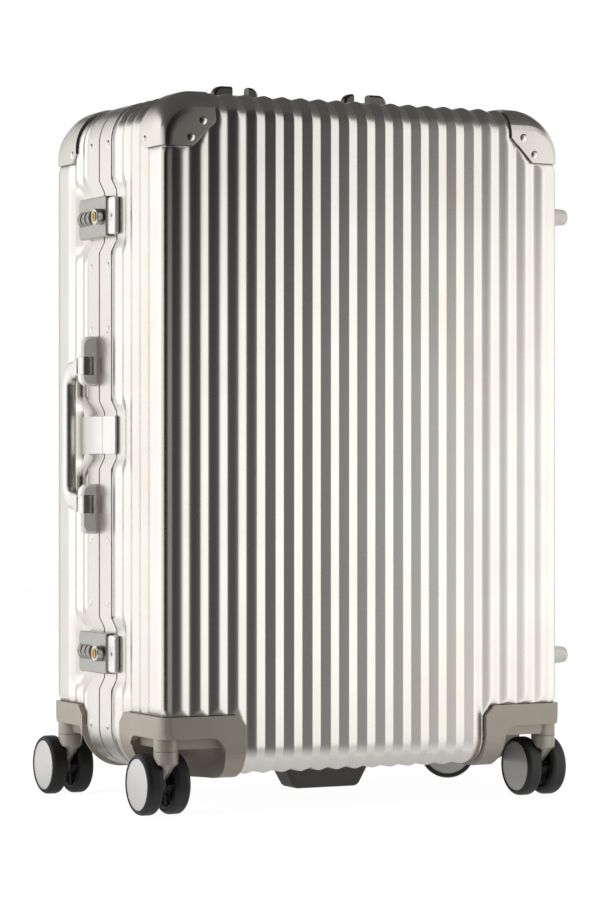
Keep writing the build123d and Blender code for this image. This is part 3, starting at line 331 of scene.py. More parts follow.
@dataclass(frozen=True)
class FlakePaint(MouldedPlastic):
    """Paint or plastic with metal flake: the flakes' share of its light sets faces apart by their turn."""

    flake: float = 0.5

    def dress(self, tree: Tree, shader: Node) -> None:
        """Pebbled skin with flake."""
        super().dress(tree, shader)
        shader.inputs["Metallic"].default_value = self.flake


@dataclass(frozen=True)
class TyreRubber(Finish):
    """Cast polyurethane or rubber: dull, with dust in a fine mottle."""

    mottle_mm: float = 3.0
    mottle_depth_mm: float = 0.03
    spread: float = 0.12
    ior: float = 1.52

    def dress(self, tree: Tree, shader: Node) -> None:
        """Rubber with a fine mottle of dust.

        Args:
            tree: Node tree of the material.
            shader: Its shader.
        """
        shader.inputs["IOR"].default_value = self.ior
        _, mottle = self.clouded(tree, shader, self.mottle_mm, self.spread)
        self.relief(tree, shader, mottle, self.mottle_depth_mm)


@dataclass(frozen=True)
class WovenCloth(Finish):
    """Woven yarn: warp and weft cross on the piece's own map, with the soft sheen of filament yarn.

    Real yarns of 0.3 mm are too fine to show, so they are drawn as coarse as thread_mm.
    """

    thread_mm: float = 1.6
    thread_depth_mm: float = 0.12
    twill: float = 0.0
    cloud_mm: float = 25.0
    spread: float = 0.1
    sheen: float = 0.25
    sheen_roughness: float = 0.4
    ior: float = 1.5

    def dress(self, tree: Tree, shader: Node) -> None:
        """Two crossing sets of bands, the second turned for a twill.

        Args:
            tree: Node tree of the material.
            shader: Its shader.
        """
        shader.inputs["IOR"].default_value = self.ior
        shader.inputs["Sheen Weight"].default_value = self.sheen
        shader.inputs["Sheen Roughness"].default_value = self.sheen_roughness
        place = add_node(tree, "ShaderNodeTexCoord").outputs["UV"]
        scale = wave_scale(self.thread_mm)
        turn = add_node(tree, "ShaderNodeMapping", {"Vector": place, "Rotation": (0.0, 0.0, self.twill)})
        weft = {"Vector": turn.outputs["Vector"], "Scale": scale}
        weave = self.woven(tree, {"Vector": place, "Scale": scale}, weft, "X", "Y")
        cloud = self.clouds(tree, place, self.cloud_mm)
        blend = add_node(tree, "ShaderNodeMath", {0: weave, 1: cloud}, operation="MULTIPLY")
        self.tint(tree, shader, blend.outputs[0])
        self.gloss(tree, shader, cloud, self.spread)
        self.relief(tree, shader, weave, self.thread_depth_mm)


@dataclass(frozen=True)
class Webbing(Finish):
    """Strap webbing: ribs of yarn along the strap, crossed by a finer beat."""

    rib_mm: float = 3.0
    beat_mm: float = 1.8
    rib_depth_mm: float = 0.25
    sheen: float = 0.3

    def dress(self, tree: Tree, shader: Node) -> None:
        """Bands along and across the strap's own map.

        Args:
            tree: Node tree of the material.
            shader: Its shader.
        """
        shader.inputs["Sheen Weight"].default_value = self.sheen
        place = add_node(tree, "ShaderNodeTexCoord").outputs["UV"]
        ribs = {"Vector": place, "Scale": wave_scale(self.rib_mm)}
        beats = {"Vector": place, "Scale": wave_scale(self.beat_mm)}
        weave = self.woven(tree, ribs, beats, "Y", "X")
        self.tint(tree, shader, weave)
        self.relief(tree, shader, weave, self.rib_depth_mm)


# Rolled sheet, pressed and anodised: warm silver whose satin skin spreads reflections into soft bands, with a
# painted shadow line round each fitting
PRESSED_SHEET = SealedSheet(
    "pressed anodised aluminium sheet", "#E3E0DA", "#DAD6CE", 0.27, grain_depth_mm=0.0
)
# Extruded and anodised band: the same metal, a shade duller, with one even tone along its length
EXTRUDED_BAND = SatinMetal("extruded anodised aluminium", "#E0DDD7", "#D6D2CA", 0.3, grain_depth_mm=0.0)
# Deep drawn and blasted guards: a matt silver with wide soft highlights and no direction in them
DRAWN_GUARD = SatinMetal(
    "deep drawn blasted aluminium", "#D8D4CC", "#CDC8BF", 0.29, grain_depth_mm=0.0, cloud_mm=30.0
)
# Headed rivet wire: bright, so that each small head has a sharp glint
RIVET_WIRE = SatinMetal(
    "headed aluminium rivet wire", "#E6E4DF", "#D9D6D0", 0.2, (0.5, 0.5, 0.5), 0.002, 8.0
)
# Cast handle, polished and clear coated: long soft highlights along the bow
POLISHED_CAST = SatinMetal(
    "polished cast aluminium", "#E9E7E3", "#DCDAD5", 0.33, (0.8, 0.8, 0.8), 0.002, 25.0
)
# Top brackets, cast and tumbled: a darker copy of the side brackets' metal, as painted dark reflection, so they
# stand out against the pale surround
REFLECTION_DARKENED_CAST = SatinMetal(
    "smoked nickel on tumbled zinc", "#6E6B66", "#625F5A", 0.34, (0.6, 0.6, 0.6), 0.004, 12.0
)
# Drawn steel: cool grey, with fine lines that run with the draw
DRAWN_STEEL = SatinMetal("drawn stainless steel", "#C4C4C2", "#B2B2AF", 0.26, (0.5, 0.5, 4.0), 0.003, 15.0)
# Lock covers, cast and satin plated: a middle grey, dull enough to set off the dials
GREY_LOCK = SatinMetal("satin plated zinc", "#B4B2AD", "#A5A39D", 0.34, (0.6, 0.6, 0.6), 0.004, 10.0)
# Hasps and plates, stamped and lacquered: so pale that their turned-down edges stay light
LACQUERED_PLATE = FlakePaint(
    "silver lacquered stamped steel", "#DAD9D6", "#D1D0CC", 0.35, 0.8, 0.003, flake=0.3
)
# Key barrels, turned: the one warm spot on the case
TURNED_BRASS = SatinMetal("turned brass", "#C9A45A", "#B08A45", 0.28, (0.5, 0.5, 0.5), 0.003, 5.0)
# Trolley tubes, drawn and anodised: cool silver with straight highlights along them
DRAWN_TUBE = SatinMetal("drawn anodised aluminium tube", "#C9C9C7", "#BDBDBA", 0.28, (0.5, 0.5, 8.0), 0.003)
# Housings, moulded with metal flake: a warm grey that changes from face to face
HOUSING_NYLON = FlakePaint(
    "moulded warm grey polyamide with metal flake", "#A39C90", "#989185", 0.42, 1.1, 0.012
)
# Forks, moulded of the same plastic: a shade paler
FORK_NYLON = FlakePaint("moulded grey polyamide with metal flake", "#A8A298", "#9D978D", 0.4, 1.1, 0.012)
# Feet, moulded: nearly white and dull
FOOT_NYLON = MouldedPlastic("moulded pale grey polyamide", "#F3F0E9", "#EAE6DE", 0.45)
# Bottom grip, moulded: warm grey plastic coloured a dark grey as painted shade of its place under the case
SHADE_DARKENED_NYLON = MouldedPlastic("moulded dark grey polyamide", "#4B4843", "#413E3A", 0.5)
# Bezel, grip and buckles, moulded: black with a dull pebble
BLACK_ABS = MouldedPlastic("moulded black abs", "#1E1E1F", "#272727", 0.45)
# Trolley button, moulded: paler and smoother than its grip, so that it reads apart
BUTTON_ABS = MouldedPlastic("moulded graphite abs", "#3A3A3B", "#333334", 0.4, 0.8, 0.02)
# Release barrels, turned and plated: brighter than the covers round them
RELEASE_METAL = SatinMetal("turned plated barrel", "#DAD8D4", "#CBC9C4", 0.28, (0.5, 0.5, 0.5), 0.002, 6.0)
# Number dials, plated like the covers: dull grey rings
DIAL_METAL = SatinMetal("satin plated dials", "#AEACA8", "#A09E99", 0.36, (0.6, 0.6, 0.6), 0.002, 6.0)
# Numerals, filled with paint: crisp and dark on the dials
DIGIT_FILL = MouldedPlastic("dark filled numerals", "#2A2A2B", "#333334", 0.5, 0.8, 0.01)
# Wheel caps, moulded and painted: pale silver discs in the black tyres
CAP_ABS = FlakePaint("silver painted abs", "#C9C8C5", "#BFBEBB", 0.42, 0.9, 0.004)
# Side brackets, cast and painted: a pale silver, duller than the polished bow
SILVER_CAST = FlakePaint("silver painted cast zinc", "#E0DEDA", "#D6D4CF", 0.4, 0.9, 0.006, flake=0.2)
# Hubs, moulded: black spokes that show by the light on their edges
SPOKE_NYLON = MouldedPlastic("moulded black polyamide", "#202021", "#2A2A2A", 0.5)
# Hasp dots, enamelled: dark green with a small gloss
GREEN_DOT = MouldedPlastic("green enamel dot", "#2F4A36", "#2A4231", 0.3, 0.8, 0.005)
# Zip, stamped and blackened: dark teeth with dull glints
ZIP_METAL = SatinMetal("zip brass, blackened", "#5A5753", "#4A4844", 0.35, (0.5, 0.5, 0.5), 0.004, 4.0)
# Seal, extruded: a thin warm line between the two bands
SEAL_RUBBER = TyreRubber("extruded tan rubber", "#84705A", "#75634F", 0.6)
# Tyres, cast: black and dull
TYRE_PU = TyreRubber("cast black polyurethane", "#080808", "#0E0E0E", 0.55)
# Lining, woven: a soft grey with a faint sheen
LINING_CLOTH = WovenCloth("woven grey polyester lining", "#46474A", "#5A5B5F", 0.72)
# Pocket, woven as a twill: darker, with a weave that runs aslant
POCKET_CLOTH = WovenCloth(
    "woven dark polyester twill", "#3B3C40", "#515257", 0.7, 2.0, 0.15, math.radians(27.0)
)
# Binding, woven finely: a dark line round the pocket
PIPING_CLOTH = WovenCloth("bias bound polyester", "#2B2C2E", "#3A3B3E", 0.65, 1.2, 0.08)
# Straps, woven: nearly black, with ribs along them that catch the light
STRAP_WEB = Webbing("woven polypropylene webbing", "#232427", "#3A3B40", 0.65)


# Meshes


@dataclass
class Surface:
    """Points in millimetres about the body's middle, the faces between them, and a map in millimetres."""

    points: Array
    faces: Array
    uv: Array | None = None

    def welded(self) -> tuple["Surface", Array]:
        """Join the points that lie at one place, so that poles are closed.

        Returns:
            The surface with its quads, and its triangles apart.
        """
        spots = np.round(self.points, 4)
        _, first, number = np.unique(spots, axis=0, return_index=True, return_inverse=True)
        faces = number.ravel()[self.faces]
        same = faces == np.roll(faces, -1, axis=1)
        doubled = same.sum(axis=1)
        triangles = faces[doubled == 1][~same[doubled == 1]].reshape(-1, 3)
        uv = None if self.uv is None else self.uv[first]
        return Surface(self.points[first], faces[doubled == 0], uv), triangles

    def joined(self, other: "Surface") -> "Surface":
        """Put another surface beside this one.

        Args:
            other: The other surface.

        Returns:
            Both as one, with their maps where both have one.
        """
        points = np.concatenate([self.points, other.points])
        faces = np.concatenate([self.faces, other.faces + len(self.points)])
        mapped = self.uv is not None and other.uv is not None
        return Surface(points, faces, np.concatenate([self.uv, other.uv]) if mapped else None)


def grid_faces(rows: int, columns: int, wrap_rows: bool = False, wrap_columns: bool = False) -> Array:
    """Quads between the points of a grid stored row by row.

    Args:
        rows: Number of rows.
        columns: Number of columns.
        wrap_rows: Whether the last row joins the first.
        wrap_columns: Whether the last column joins the first.

    Returns:
        One row of four point numbers for each quad.
    """
    r = np.arange(rows if wrap_rows else rows - 1)[:, None]
    c = np.arange(columns if wrap_columns else columns - 1)[None, :]
    r_next = (r + 1) % rows
    c_next = (c + 1) % columns
    quads = [r * columns + c, r * columns + c_next, r_next * columns + c_next, r_next * columns + c]
    return np.stack([np.broadcast_to(q, (r.size, c.size)) for q in quads], axis=-1).reshape(-1, 4)


def fan_faces(loop: Array) -> Array:
    """Triangles from a loop's first point to its edges, as quads with the last corner doubled."""
    return np.stack([loop[:1].repeat(len(loop) - 2), loop[1:-1], loop[2:], loop[2:]], axis=-1)


def turned(profile: Array, centre: Array, axis: Array, steps: int) -> Surface:
    """Closed profile carried round an axis: each (along, radius) pair sweeps a circle of that radius.

    Args:
        profile: Closed loop of (distance along the axis, radius) pairs.
        centre: Point that distances are counted from.
        axis: Unit direction of the axis.
        steps: Number of stations round the axis.

    Returns:
        The swept surface.
    """
    side = np.cross(axis, (0.0, 0.0, 1.0))
    side /= np.linalg.norm(side)
    up = np.cross(side, axis)
    angle = np.linspace(0, 2 * np.pi, steps, endpoint=False)
    spoke = np.cos(angle)[:, None] * side + np.sin(angle)[:, None] * up
    along = profile[None, :, 0, None] * axis
    points = centre + along + profile[None, :, 1, None] * spoke[:, None, :]
    return Surface(points.reshape(-1, 3), grid_faces(steps, len(profile), True, True))


def swept(path: Array, across: Array, up: Array, profile: Array, closed: bool) -> Surface:
    """Closed profile carried along a path: each (sideways, height) pair is laid out at every station.

    Args:
        path: Stations of the path.
        across: Sideways direction at each station.
        up: Height direction at each station.
        profile: Closed loop of (sideways, height) pairs, or one loop for each station.
        closed: Whether the path is a loop; an open one gets flat ends.

    Returns:
        The swept surface, mapped along the path and across the profile.
    """
    count = profile.shape[-2]
    loops = np.broadcast_to(profile, (len(path), count, 2))
    points = path[:, None] + loops[..., :1] * across[:, None] + loops[..., 1:] * up[:, None]
    faces = grid_faces(len(path), count, closed, True)
    run = np.concatenate([[0.0], np.linalg.norm(np.diff(path, axis=0), axis=1).cumsum()])
    width = loops[..., 0]
    uv = np.stack([np.broadcast_to(run[:, None], width.shape), width], axis=-1)
    if not closed:
        start = np.roll(np.arange(count)[::-1], 1)
        end = np.arange(count) + (len(path) - 1) * count
        faces = np.concatenate([faces, fan_faces(start), fan_faces(end)])
    return Surface(points.reshape(-1, 3), faces, uv.reshape(-1, 2))


def rounded_loop(half_wide: float, half_tall: float, radius: float, steps: int = 6) -> Array:
    """Rounded rectangle: a quarter circle at each corner, each one the last turned by a right angle.

    Args:
        half_wide: Half of its width.
        half_tall: Half of its height.
        radius: Radius of the corners.
        steps: Points on each corner.

    Returns:
        A closed loop of pairs, counter-clockwise.
    """
    angle = np.linspace(0, np.pi / 2, steps)
    quarter = radius * np.stack([np.cos(angle), np.sin(angle)], axis=-1)
    x, y = half_wide - radius, half_tall - radius
    turns = [np.array([[0, -1], [1, 0]]), np.array([[-1, 0], [0, -1]]), np.array([[0, 1], [-1, 0]])]
    corners = [quarter + (x, y)]
    for turn, corner in zip(turns, ((-x, y), (-x, -y), (x, -y))):
        corners.append(quarter @ turn.T + corner)
    return np.concatenate(corners)


def points_of(mesh: Mesh) -> Array:
    """Read a mesh's points.

    Args:
        mesh: The mesh.

    Returns:
        One row for each point, in the mesh's metres.
    """
    spots = np.empty(len(mesh.vertices) * 3, np.float32)
    mesh.vertices.foreach_get("co", spots)
    return spots.reshape(-1, 3).astype(float)


def corners_of(mesh: Mesh) -> Array:
    """Read the point number of each corner of a mesh's faces.

    Args:
        mesh: The mesh.

    Returns:
        The numbers, face by face.
    """
    corner = np.empty(len(mesh.loops), np.int32)
    mesh.loops.foreach_get("vertex_index", corner)
    return corner


def body_of(node: str) -> str:
    """The body that carries a node."""
    return next(body for body, nodes in frame["record"]["behaviour"]["bodies"].items() if node in nodes)


def joint_of(body: str) -> dict:
    """The joint that moves a body."""
    return next(joint for joint in frame["joints"] if joint["child"] == body)


def thicken(piece: Piece, layer: str, thick_mm: float) -> None:
    """Give a piece the thickness of its sheet, inwards.

    Args:
        piece: The piece.
        layer: What the sheet is.
        thick_mm: Thickness of the sheet.
    """
    wall = piece.modifiers.new(layer, "SOLIDIFY")
    wall.thickness = thick_mm * MM
    wall.offset = -1.0


@dataclass
class Workshop:
    """Turns surfaces into pieces: places them in the row frame, paints them and seats them on bodies."""

    middle: Array = field(init=False)
    flat_turn: float = math.radians(0.4)
    bevel_turn: float = math.radians(40.0)

    def __post_init__(self) -> None:
        """Find where the body's middle lies in the row frame from the front shell's own box."""
        low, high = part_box("front_shell")
        self.middle = np.array([(low.x + high.x) / 2 / MM, low.y / MM + BODY.wall, 0.0])

    def mesh(self, name: str, surface: Surface) -> Mesh:
        """Put a surface into a mesh in the row frame's metres.

        Args:
            name: Name of the mesh.
            surface: Points, faces and map in millimetres.

        Returns:
            The mesh, shaded smooth.
        """
        mesh = bpy.data.meshes.new(name)
        surface, triangles = surface.welded()
        faces = surface.faces.tolist() + triangles.tolist()
        mesh.from_pydata(((surface.points + self.middle) * MM).tolist(), [], faces, shade_flat=False)
        if surface.uv is not None:
            spots = surface.uv[corners_of(mesh)] * MM
            mesh.uv_layers.new(name="map").data.foreach_set("uv", spots.ravel())
        mesh.validate()
        mesh.update()
        return mesh

    def piece(
        self, name: str, mesh: Mesh, body: str, finish: Finish, slot: str, stands_for: Sequence[str] = ()
    ) -> Piece:
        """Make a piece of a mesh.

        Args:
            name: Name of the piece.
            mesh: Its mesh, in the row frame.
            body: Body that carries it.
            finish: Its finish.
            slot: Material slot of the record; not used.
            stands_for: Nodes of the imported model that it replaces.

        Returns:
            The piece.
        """
        made = bpy.data.objects.new(name, mesh)
        bpy.context.scene.collection.objects.link(made)
        mesh.materials.clear()
        mesh.materials.append(finish.material())
        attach(made, body)
        if stands_for:
            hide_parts(*stands_for)
        LOG.info("%s on %s: %d faces, %s", name, body, len(mesh.polygons), finish.name)
        return made

    def finished(
        self, node: str, finish: Finish, bevel_mm: float = 0.0, crease: float = 32.0, segments: int = 2
    ) -> None:
        """Copy a node with its corners joined, smooth over its curves, and with its edges broken.

        Points closer than a thousandth of a millimetre are taken as one. Flat neighbours are joined into one
        face, and an edge stays crisp where its faces turn by more than the crease angle.

        Args:
            node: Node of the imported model.
            finish: Its finish.
            bevel_mm: Width of the broken edges, or zero for none.
            crease: Angle in degrees above which an edge is crisp.
            segments: Number of faces across a broken edge.
        """
        source = frame["nodes"][node].data
        spots = points_of(source)
        _, first, number = np.unique(np.round(spots / MM, 3), axis=0, return_index=True, return_inverse=True)
        faces = number.ravel()[corners_of(source).reshape(-1, 3)]
        whole = (faces != np.roll(faces, -1, axis=1)).all(axis=1)
        mesh = bpy.data.meshes.new(node + "_surface")
        mesh.from_pydata(spots[first].tolist(), [], faces[whole].tolist(), shade_flat=False)
        work = bmesh.new()
        work.from_mesh(mesh)
        bmesh.ops.dissolve_limit(work, angle_limit=self.flat_turn, verts=work.verts, edges=work.edges)
        work.to_mesh(mesh)
        work.free()
        mesh.set_sharp_from_angle(angle=math.radians(crease))
        slot = next(s["material_slot"] for s in frame["record"]["subparts"] if s["node"] == node)
        made = self.piece(node + "_surface", mesh, body_of(node), finish, slot, [node])
        if bevel_mm:
            broken = made.modifiers.new("broken edges", "BEVEL")
            broken.width = bevel_mm * MM
            broken.segments = segments
            broken.limit_method = "ANGLE"
            broken.angle_limit = self.bevel_turn
        even = made.modifiers.new("even shading", "WEIGHTED_NORMAL")
        even.keep_sharp = True


# The case


class Half(Enum):
    """A half of the case; the value is the sign of its depth."""

    FRONT = -1
    REAR = 1

    @property
    def word(self) -> str:
        """The half's name in node names."""
        return self.name.lower()

    @property
    def body(self) -> str:
        """The body that carries the half."""
        return f"{self.word}_half"


@dataclass(frozen=True)
class BodySizes:
    """Sizes of the case in millimetres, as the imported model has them."""

    half_wide: float = 240.0
    half_tall: float = 360.0
    wall: float = 143.5
    mid_z: float = 399.2
    corner_r: float = 45.0
    edge_r: float = 32.0
    post_r: float = 10.0
    split: float = 24.0
    rib_pitch: float = 22.0
    rib_depth: float = 3.0
    rib_round: float = 0.988
    first_side_rib: float = 107.5
    land: float = 3.4
    band: float = 31.2
    shell_edge: float = 4.2
    sheet: float = 1.5
    fade: float = math.radians(80.0)
    swivel_x: float = 230.0
    swivel_y: float = 127.0
    locks: tuple[float, float] = (635.2, 163.2)


BODY = BodySizes()


def soft_max(a: Array, b: Array, blend: float) -> Array:
    """The larger of two fields, with their meeting line rounded over a blend width."""
    near = np.clip(blend - np.abs(a - b), 0, None) / blend
    return np.maximum(a, b) + near * near * blend / 4


def rounded_corner(a: Array, b: Array, radius: float) -> Array:
    """Signed distance to a quarter of a rounded rectangle, from the distances past its two sides."""
    a, b = a + radius, b + radius
    return np.hypot(np.clip(a, 0, None), np.clip(b, 0, None)) + np.minimum(np.maximum(a, b), 0) - radius


def drawn_in(radius: Array, deep: Array) -> Array:
    """How far a rounded edge draws in at a depth below the face: a quarter circle's sagitta."""
    short = np.clip(radius - np.clip(deep, 0, None), 0, None)
    return radius - np.sqrt(radius * radius - short * short)


def smooth_hull(x: Array, s: Array, z: Array, inset: Array) -> Array:
    """Field of a half without ribs, drawn in by an inset.

    At each depth it is the distance to a rounded outline that the posts' and the edges' roundings draw in.

    Args:
        x: Sideways places.
        s: Depths from the middle, positive to the half's own face.
        z: Heights.
        inset: How far the surface lies inside the ridges.

    Returns:
        One value for each point, negative inside.
    """
    deep = BODY.wall - inset - s
    in_x, in_z = drawn_in(BODY.post_r - inset, deep), drawn_in(BODY.edge_r - inset, deep)
    past_x = np.abs(x) - BODY.half_wide + inset + in_x
    past_z = np.abs(z - BODY.mid_z) - BODY.half_tall + inset + in_z
    return np.maximum(rounded_corner(past_x, past_z, BODY.corner_r - inset - (in_x + in_z) / 2), -deep)


def rib_wave(distance: Array) -> Array:
    """Rib depth by distance from a ridge: a triangle wave whose crests and troughs are rounded.

    The arc sine of a cosine is a triangle wave, and a cosine drawn in a little rounds its turning points.
    """
    wave = np.arcsin(BODY.rib_round * np.cos(2 * np.pi * distance / BODY.rib_pitch))
    return BODY.rib_depth * (0.5 - wave / (2 * math.asin(BODY.rib_round)))


@dataclass
class TrayMesh:
    """Tray-shaped surface, found by casting rays from a flat core onto the zero of a field.

    Columns and rows are the core's grid across the broad face. From the core's border, rays fan out over the
    face's edge by the given angles, and then run outwards at each depth towards the open edge.
    """

    columns: Array
    rows: Array
    core_depth: float
    fan: Array
    depths: Array
    half_wide: float
    half_tall: float
    corner_r: float
    halvings: int = 26

    def outline_run(self, along: Array, end: float, straight: float) -> Array:
        """How far along the outline the core's border looks, from a side's middle to its corner's middle.

        Args:
            along: Distances of the core's points from the side's middle.
            end: Distance of the core's own corner.
            straight: Length of the straight part of the outline.

        Returns:
            The distances: straight across where the core reaches past the straight part, else spread evenly.
        """
        quarter = self.corner_r * np.pi / 4
        if end <= straight:
            return along / end * (straight + quarter)
        return np.where(along > straight, straight + (along - straight) / (end - straight) * quarter, along)

    def border(self) -> tuple[Array, Array]:
        """Match the core's border to the outline: straight runs to sides, corners to quarter circles.

        Returns:
            Numbers of the core's points round the border, and the direction that each one looks in.
        """
        count_c, count_r = len(self.columns), len(self.rows)
        number = np.arange(count_c * count_r).reshape(count_r, count_c)
        loop = np.concatenate([number[0, :-1], number[:-1, -1], number[-1, :0:-1], number[:0:-1, 0]])
        x, z = self.columns[loop % count_c], self.rows[loop // count_c]
        straight_x, straight_z = self.half_wide - self.corner_r, self.half_tall - self.corner_r
        level = np.isin(loop // count_c, (0, count_r - 1))
        run_x = self.outline_run(np.abs(x), self.columns[-1], straight_x)
        run_z = self.outline_run(np.abs(z - BODY.mid_z), self.rows[-1] - BODY.mid_z, straight_z)
        past = np.where(level, run_x - straight_x, run_z - straight_z) / (self.corner_r * np.pi / 4)
        past = np.clip(past, 0, 1)
        bend = np.where(level, np.pi / 2 - past * np.pi / 4, past * np.pi / 4)
        side_x, side_z = np.where(level, run_x, self.half_wide), np.where(level, self.half_tall, run_z)
        out_x = np.where(past > 0, straight_x + self.corner_r * np.cos(bend), side_x)
        out_z = np.where(past > 0, straight_z + self.corner_r * np.sin(bend), side_z)
        target = np.stack([np.sign(x) * out_x, np.sign(z - BODY.mid_z) * out_z + BODY.mid_z], axis=-1)
        way = target - np.stack([x, z], axis=-1)
        return loop, way / np.linalg.norm(way, axis=1, keepdims=True)

    def cast(self, half: Half, field_at: Callable[[Array], Array], reach: float) -> Surface:
        """Cast the rays and join their ends into one surface.

        Args:
            half: Half of the case.
            field_at: Field of points, negative inside and zero on the surface.
            reach: Longest ray.

        Returns:
            The surface, facing outwards, mapped by its own arc lengths.
        """
        loop, way = self.border()
        core_x, core_z = (g.ravel() for g in np.meshgrid(self.columns, self.rows))
        core = np.stack([core_x, np.full(core_x.size, half.value * self.core_depth), core_z], axis=-1)
        ring = core[loop]
        starts, ways = [core], [np.broadcast_to(np.array([0.0, half.value, 0.0]), core.shape)]
        for angle in self.fan:
            side, out = np.sin(angle) * way, np.full(len(way), half.value * np.cos(angle))
            starts.append(ring)
            ways.append(np.stack([side[:, 0], out, side[:, 1]], axis=-1))
        for depth in self.depths:
            starts.append(np.stack([ring[:, 0], np.full(len(ring), depth), ring[:, 2]], axis=-1))
            ways.append(np.stack([way[:, 0], np.zeros(len(way)), way[:, 1]], axis=-1))
        start, along = np.concatenate(starts), np.concatenate(ways)
        near, far = np.zeros(len(start)), np.full(len(start), reach)
        for _ in range(self.halvings):
            trial = (near + far) / 2
            inside = field_at(start + trial[:, None] * along) < 0
            near, far = np.where(inside, trial, near), np.where(inside, far, trial)
        points = start + ((near + far) / 2)[:, None] * along
        outer = len(core) + np.arange(len(loop) * (len(starts) - 1)).reshape(-1, len(loop))
        rings = np.concatenate([loop[None, :], outer])
        flat = grid_faces(len(self.rows), len(self.columns))
        around = grid_faces(len(rings), len(loop), False, True)
        faces = np.concatenate([flat, rings.ravel()[around][:, ::-1]])
        if half is Half.REAR:
            faces = faces[:, ::-1]
        step = np.linalg.norm(np.diff(points[rings], axis=0), axis=-1)
        out = np.concatenate([np.zeros((1, len(loop))), step.cumsum(axis=0)])
        uv = np.stack([points[:, 0], points[:, 2]], axis=-1)
        uv[rings.ravel()] = (points[loop][:, [0, 2]][None] + out[..., None] * way[None]).reshape(-1, 2)
        return Surface(points, faces, uv)


@dataclass(frozen=True)
class CornerPatch:
    """Outline of a guard or housing: its level, its reaches on face and side, and its cut corners."""

    upward: int
    level: float
    face_reach: float
    face_cut: float
    side_reach: float
    side_cut: float

    def away(self, x: Array, s: Array, z: Array) -> Array:
        """How far points lie outside the outline: the largest of the distances past its straight edges.

        Args:
            x: Sideways places.
            s: Depths from the middle.
            z: Heights.

        Returns:
            One value for each point, negative under the fitting.
        """
        past_x, past_s = np.abs(x) - self.face_reach, s - self.side_reach
        rise = self.upward * (z - self.level)
        face = np.maximum(np.maximum(-past_x, -rise), (self.face_cut - past_x - rise) / math.sqrt(2))
        side = np.maximum(np.maximum(-past_s, -rise), (self.side_cut - past_s - rise) / math.sqrt(2))
        return np.maximum(face, side)


@dataclass(frozen=True)
class ShellGrid:
    """Spacing of the pressing's grid: close lines where the sheet turns, and none on flat flanks."""

    rib_lines: tuple[float, float] = (-0.55, 0.55)
    rib_count: int = 80
    line_gap: float = 0.4
    corner_start: float = 134.0
    corner_step: float = 1.6
    band_lines: tuple[float, ...] = (-0.3, 0.25, 1.1, 2.4)
    band_gap: float = 0.3
    housing_rows: tuple[float, float] = (98.0, 118.0)
    guard_rows: tuple[float, float] = (684.0, 704.0)
    edge_step: float = 1.5
    end_step: float = 3.0
    scoop_step: float = 4.5
    scoop_margin: float = 21.0
    plain_rows: int = 24
    row_gap: float = 1.4
    pan_gap: float = 0.7
    fan_steps: tuple[int, int] = (13, 9)
    ray: float = 80.0


GRID = ShellGrid()


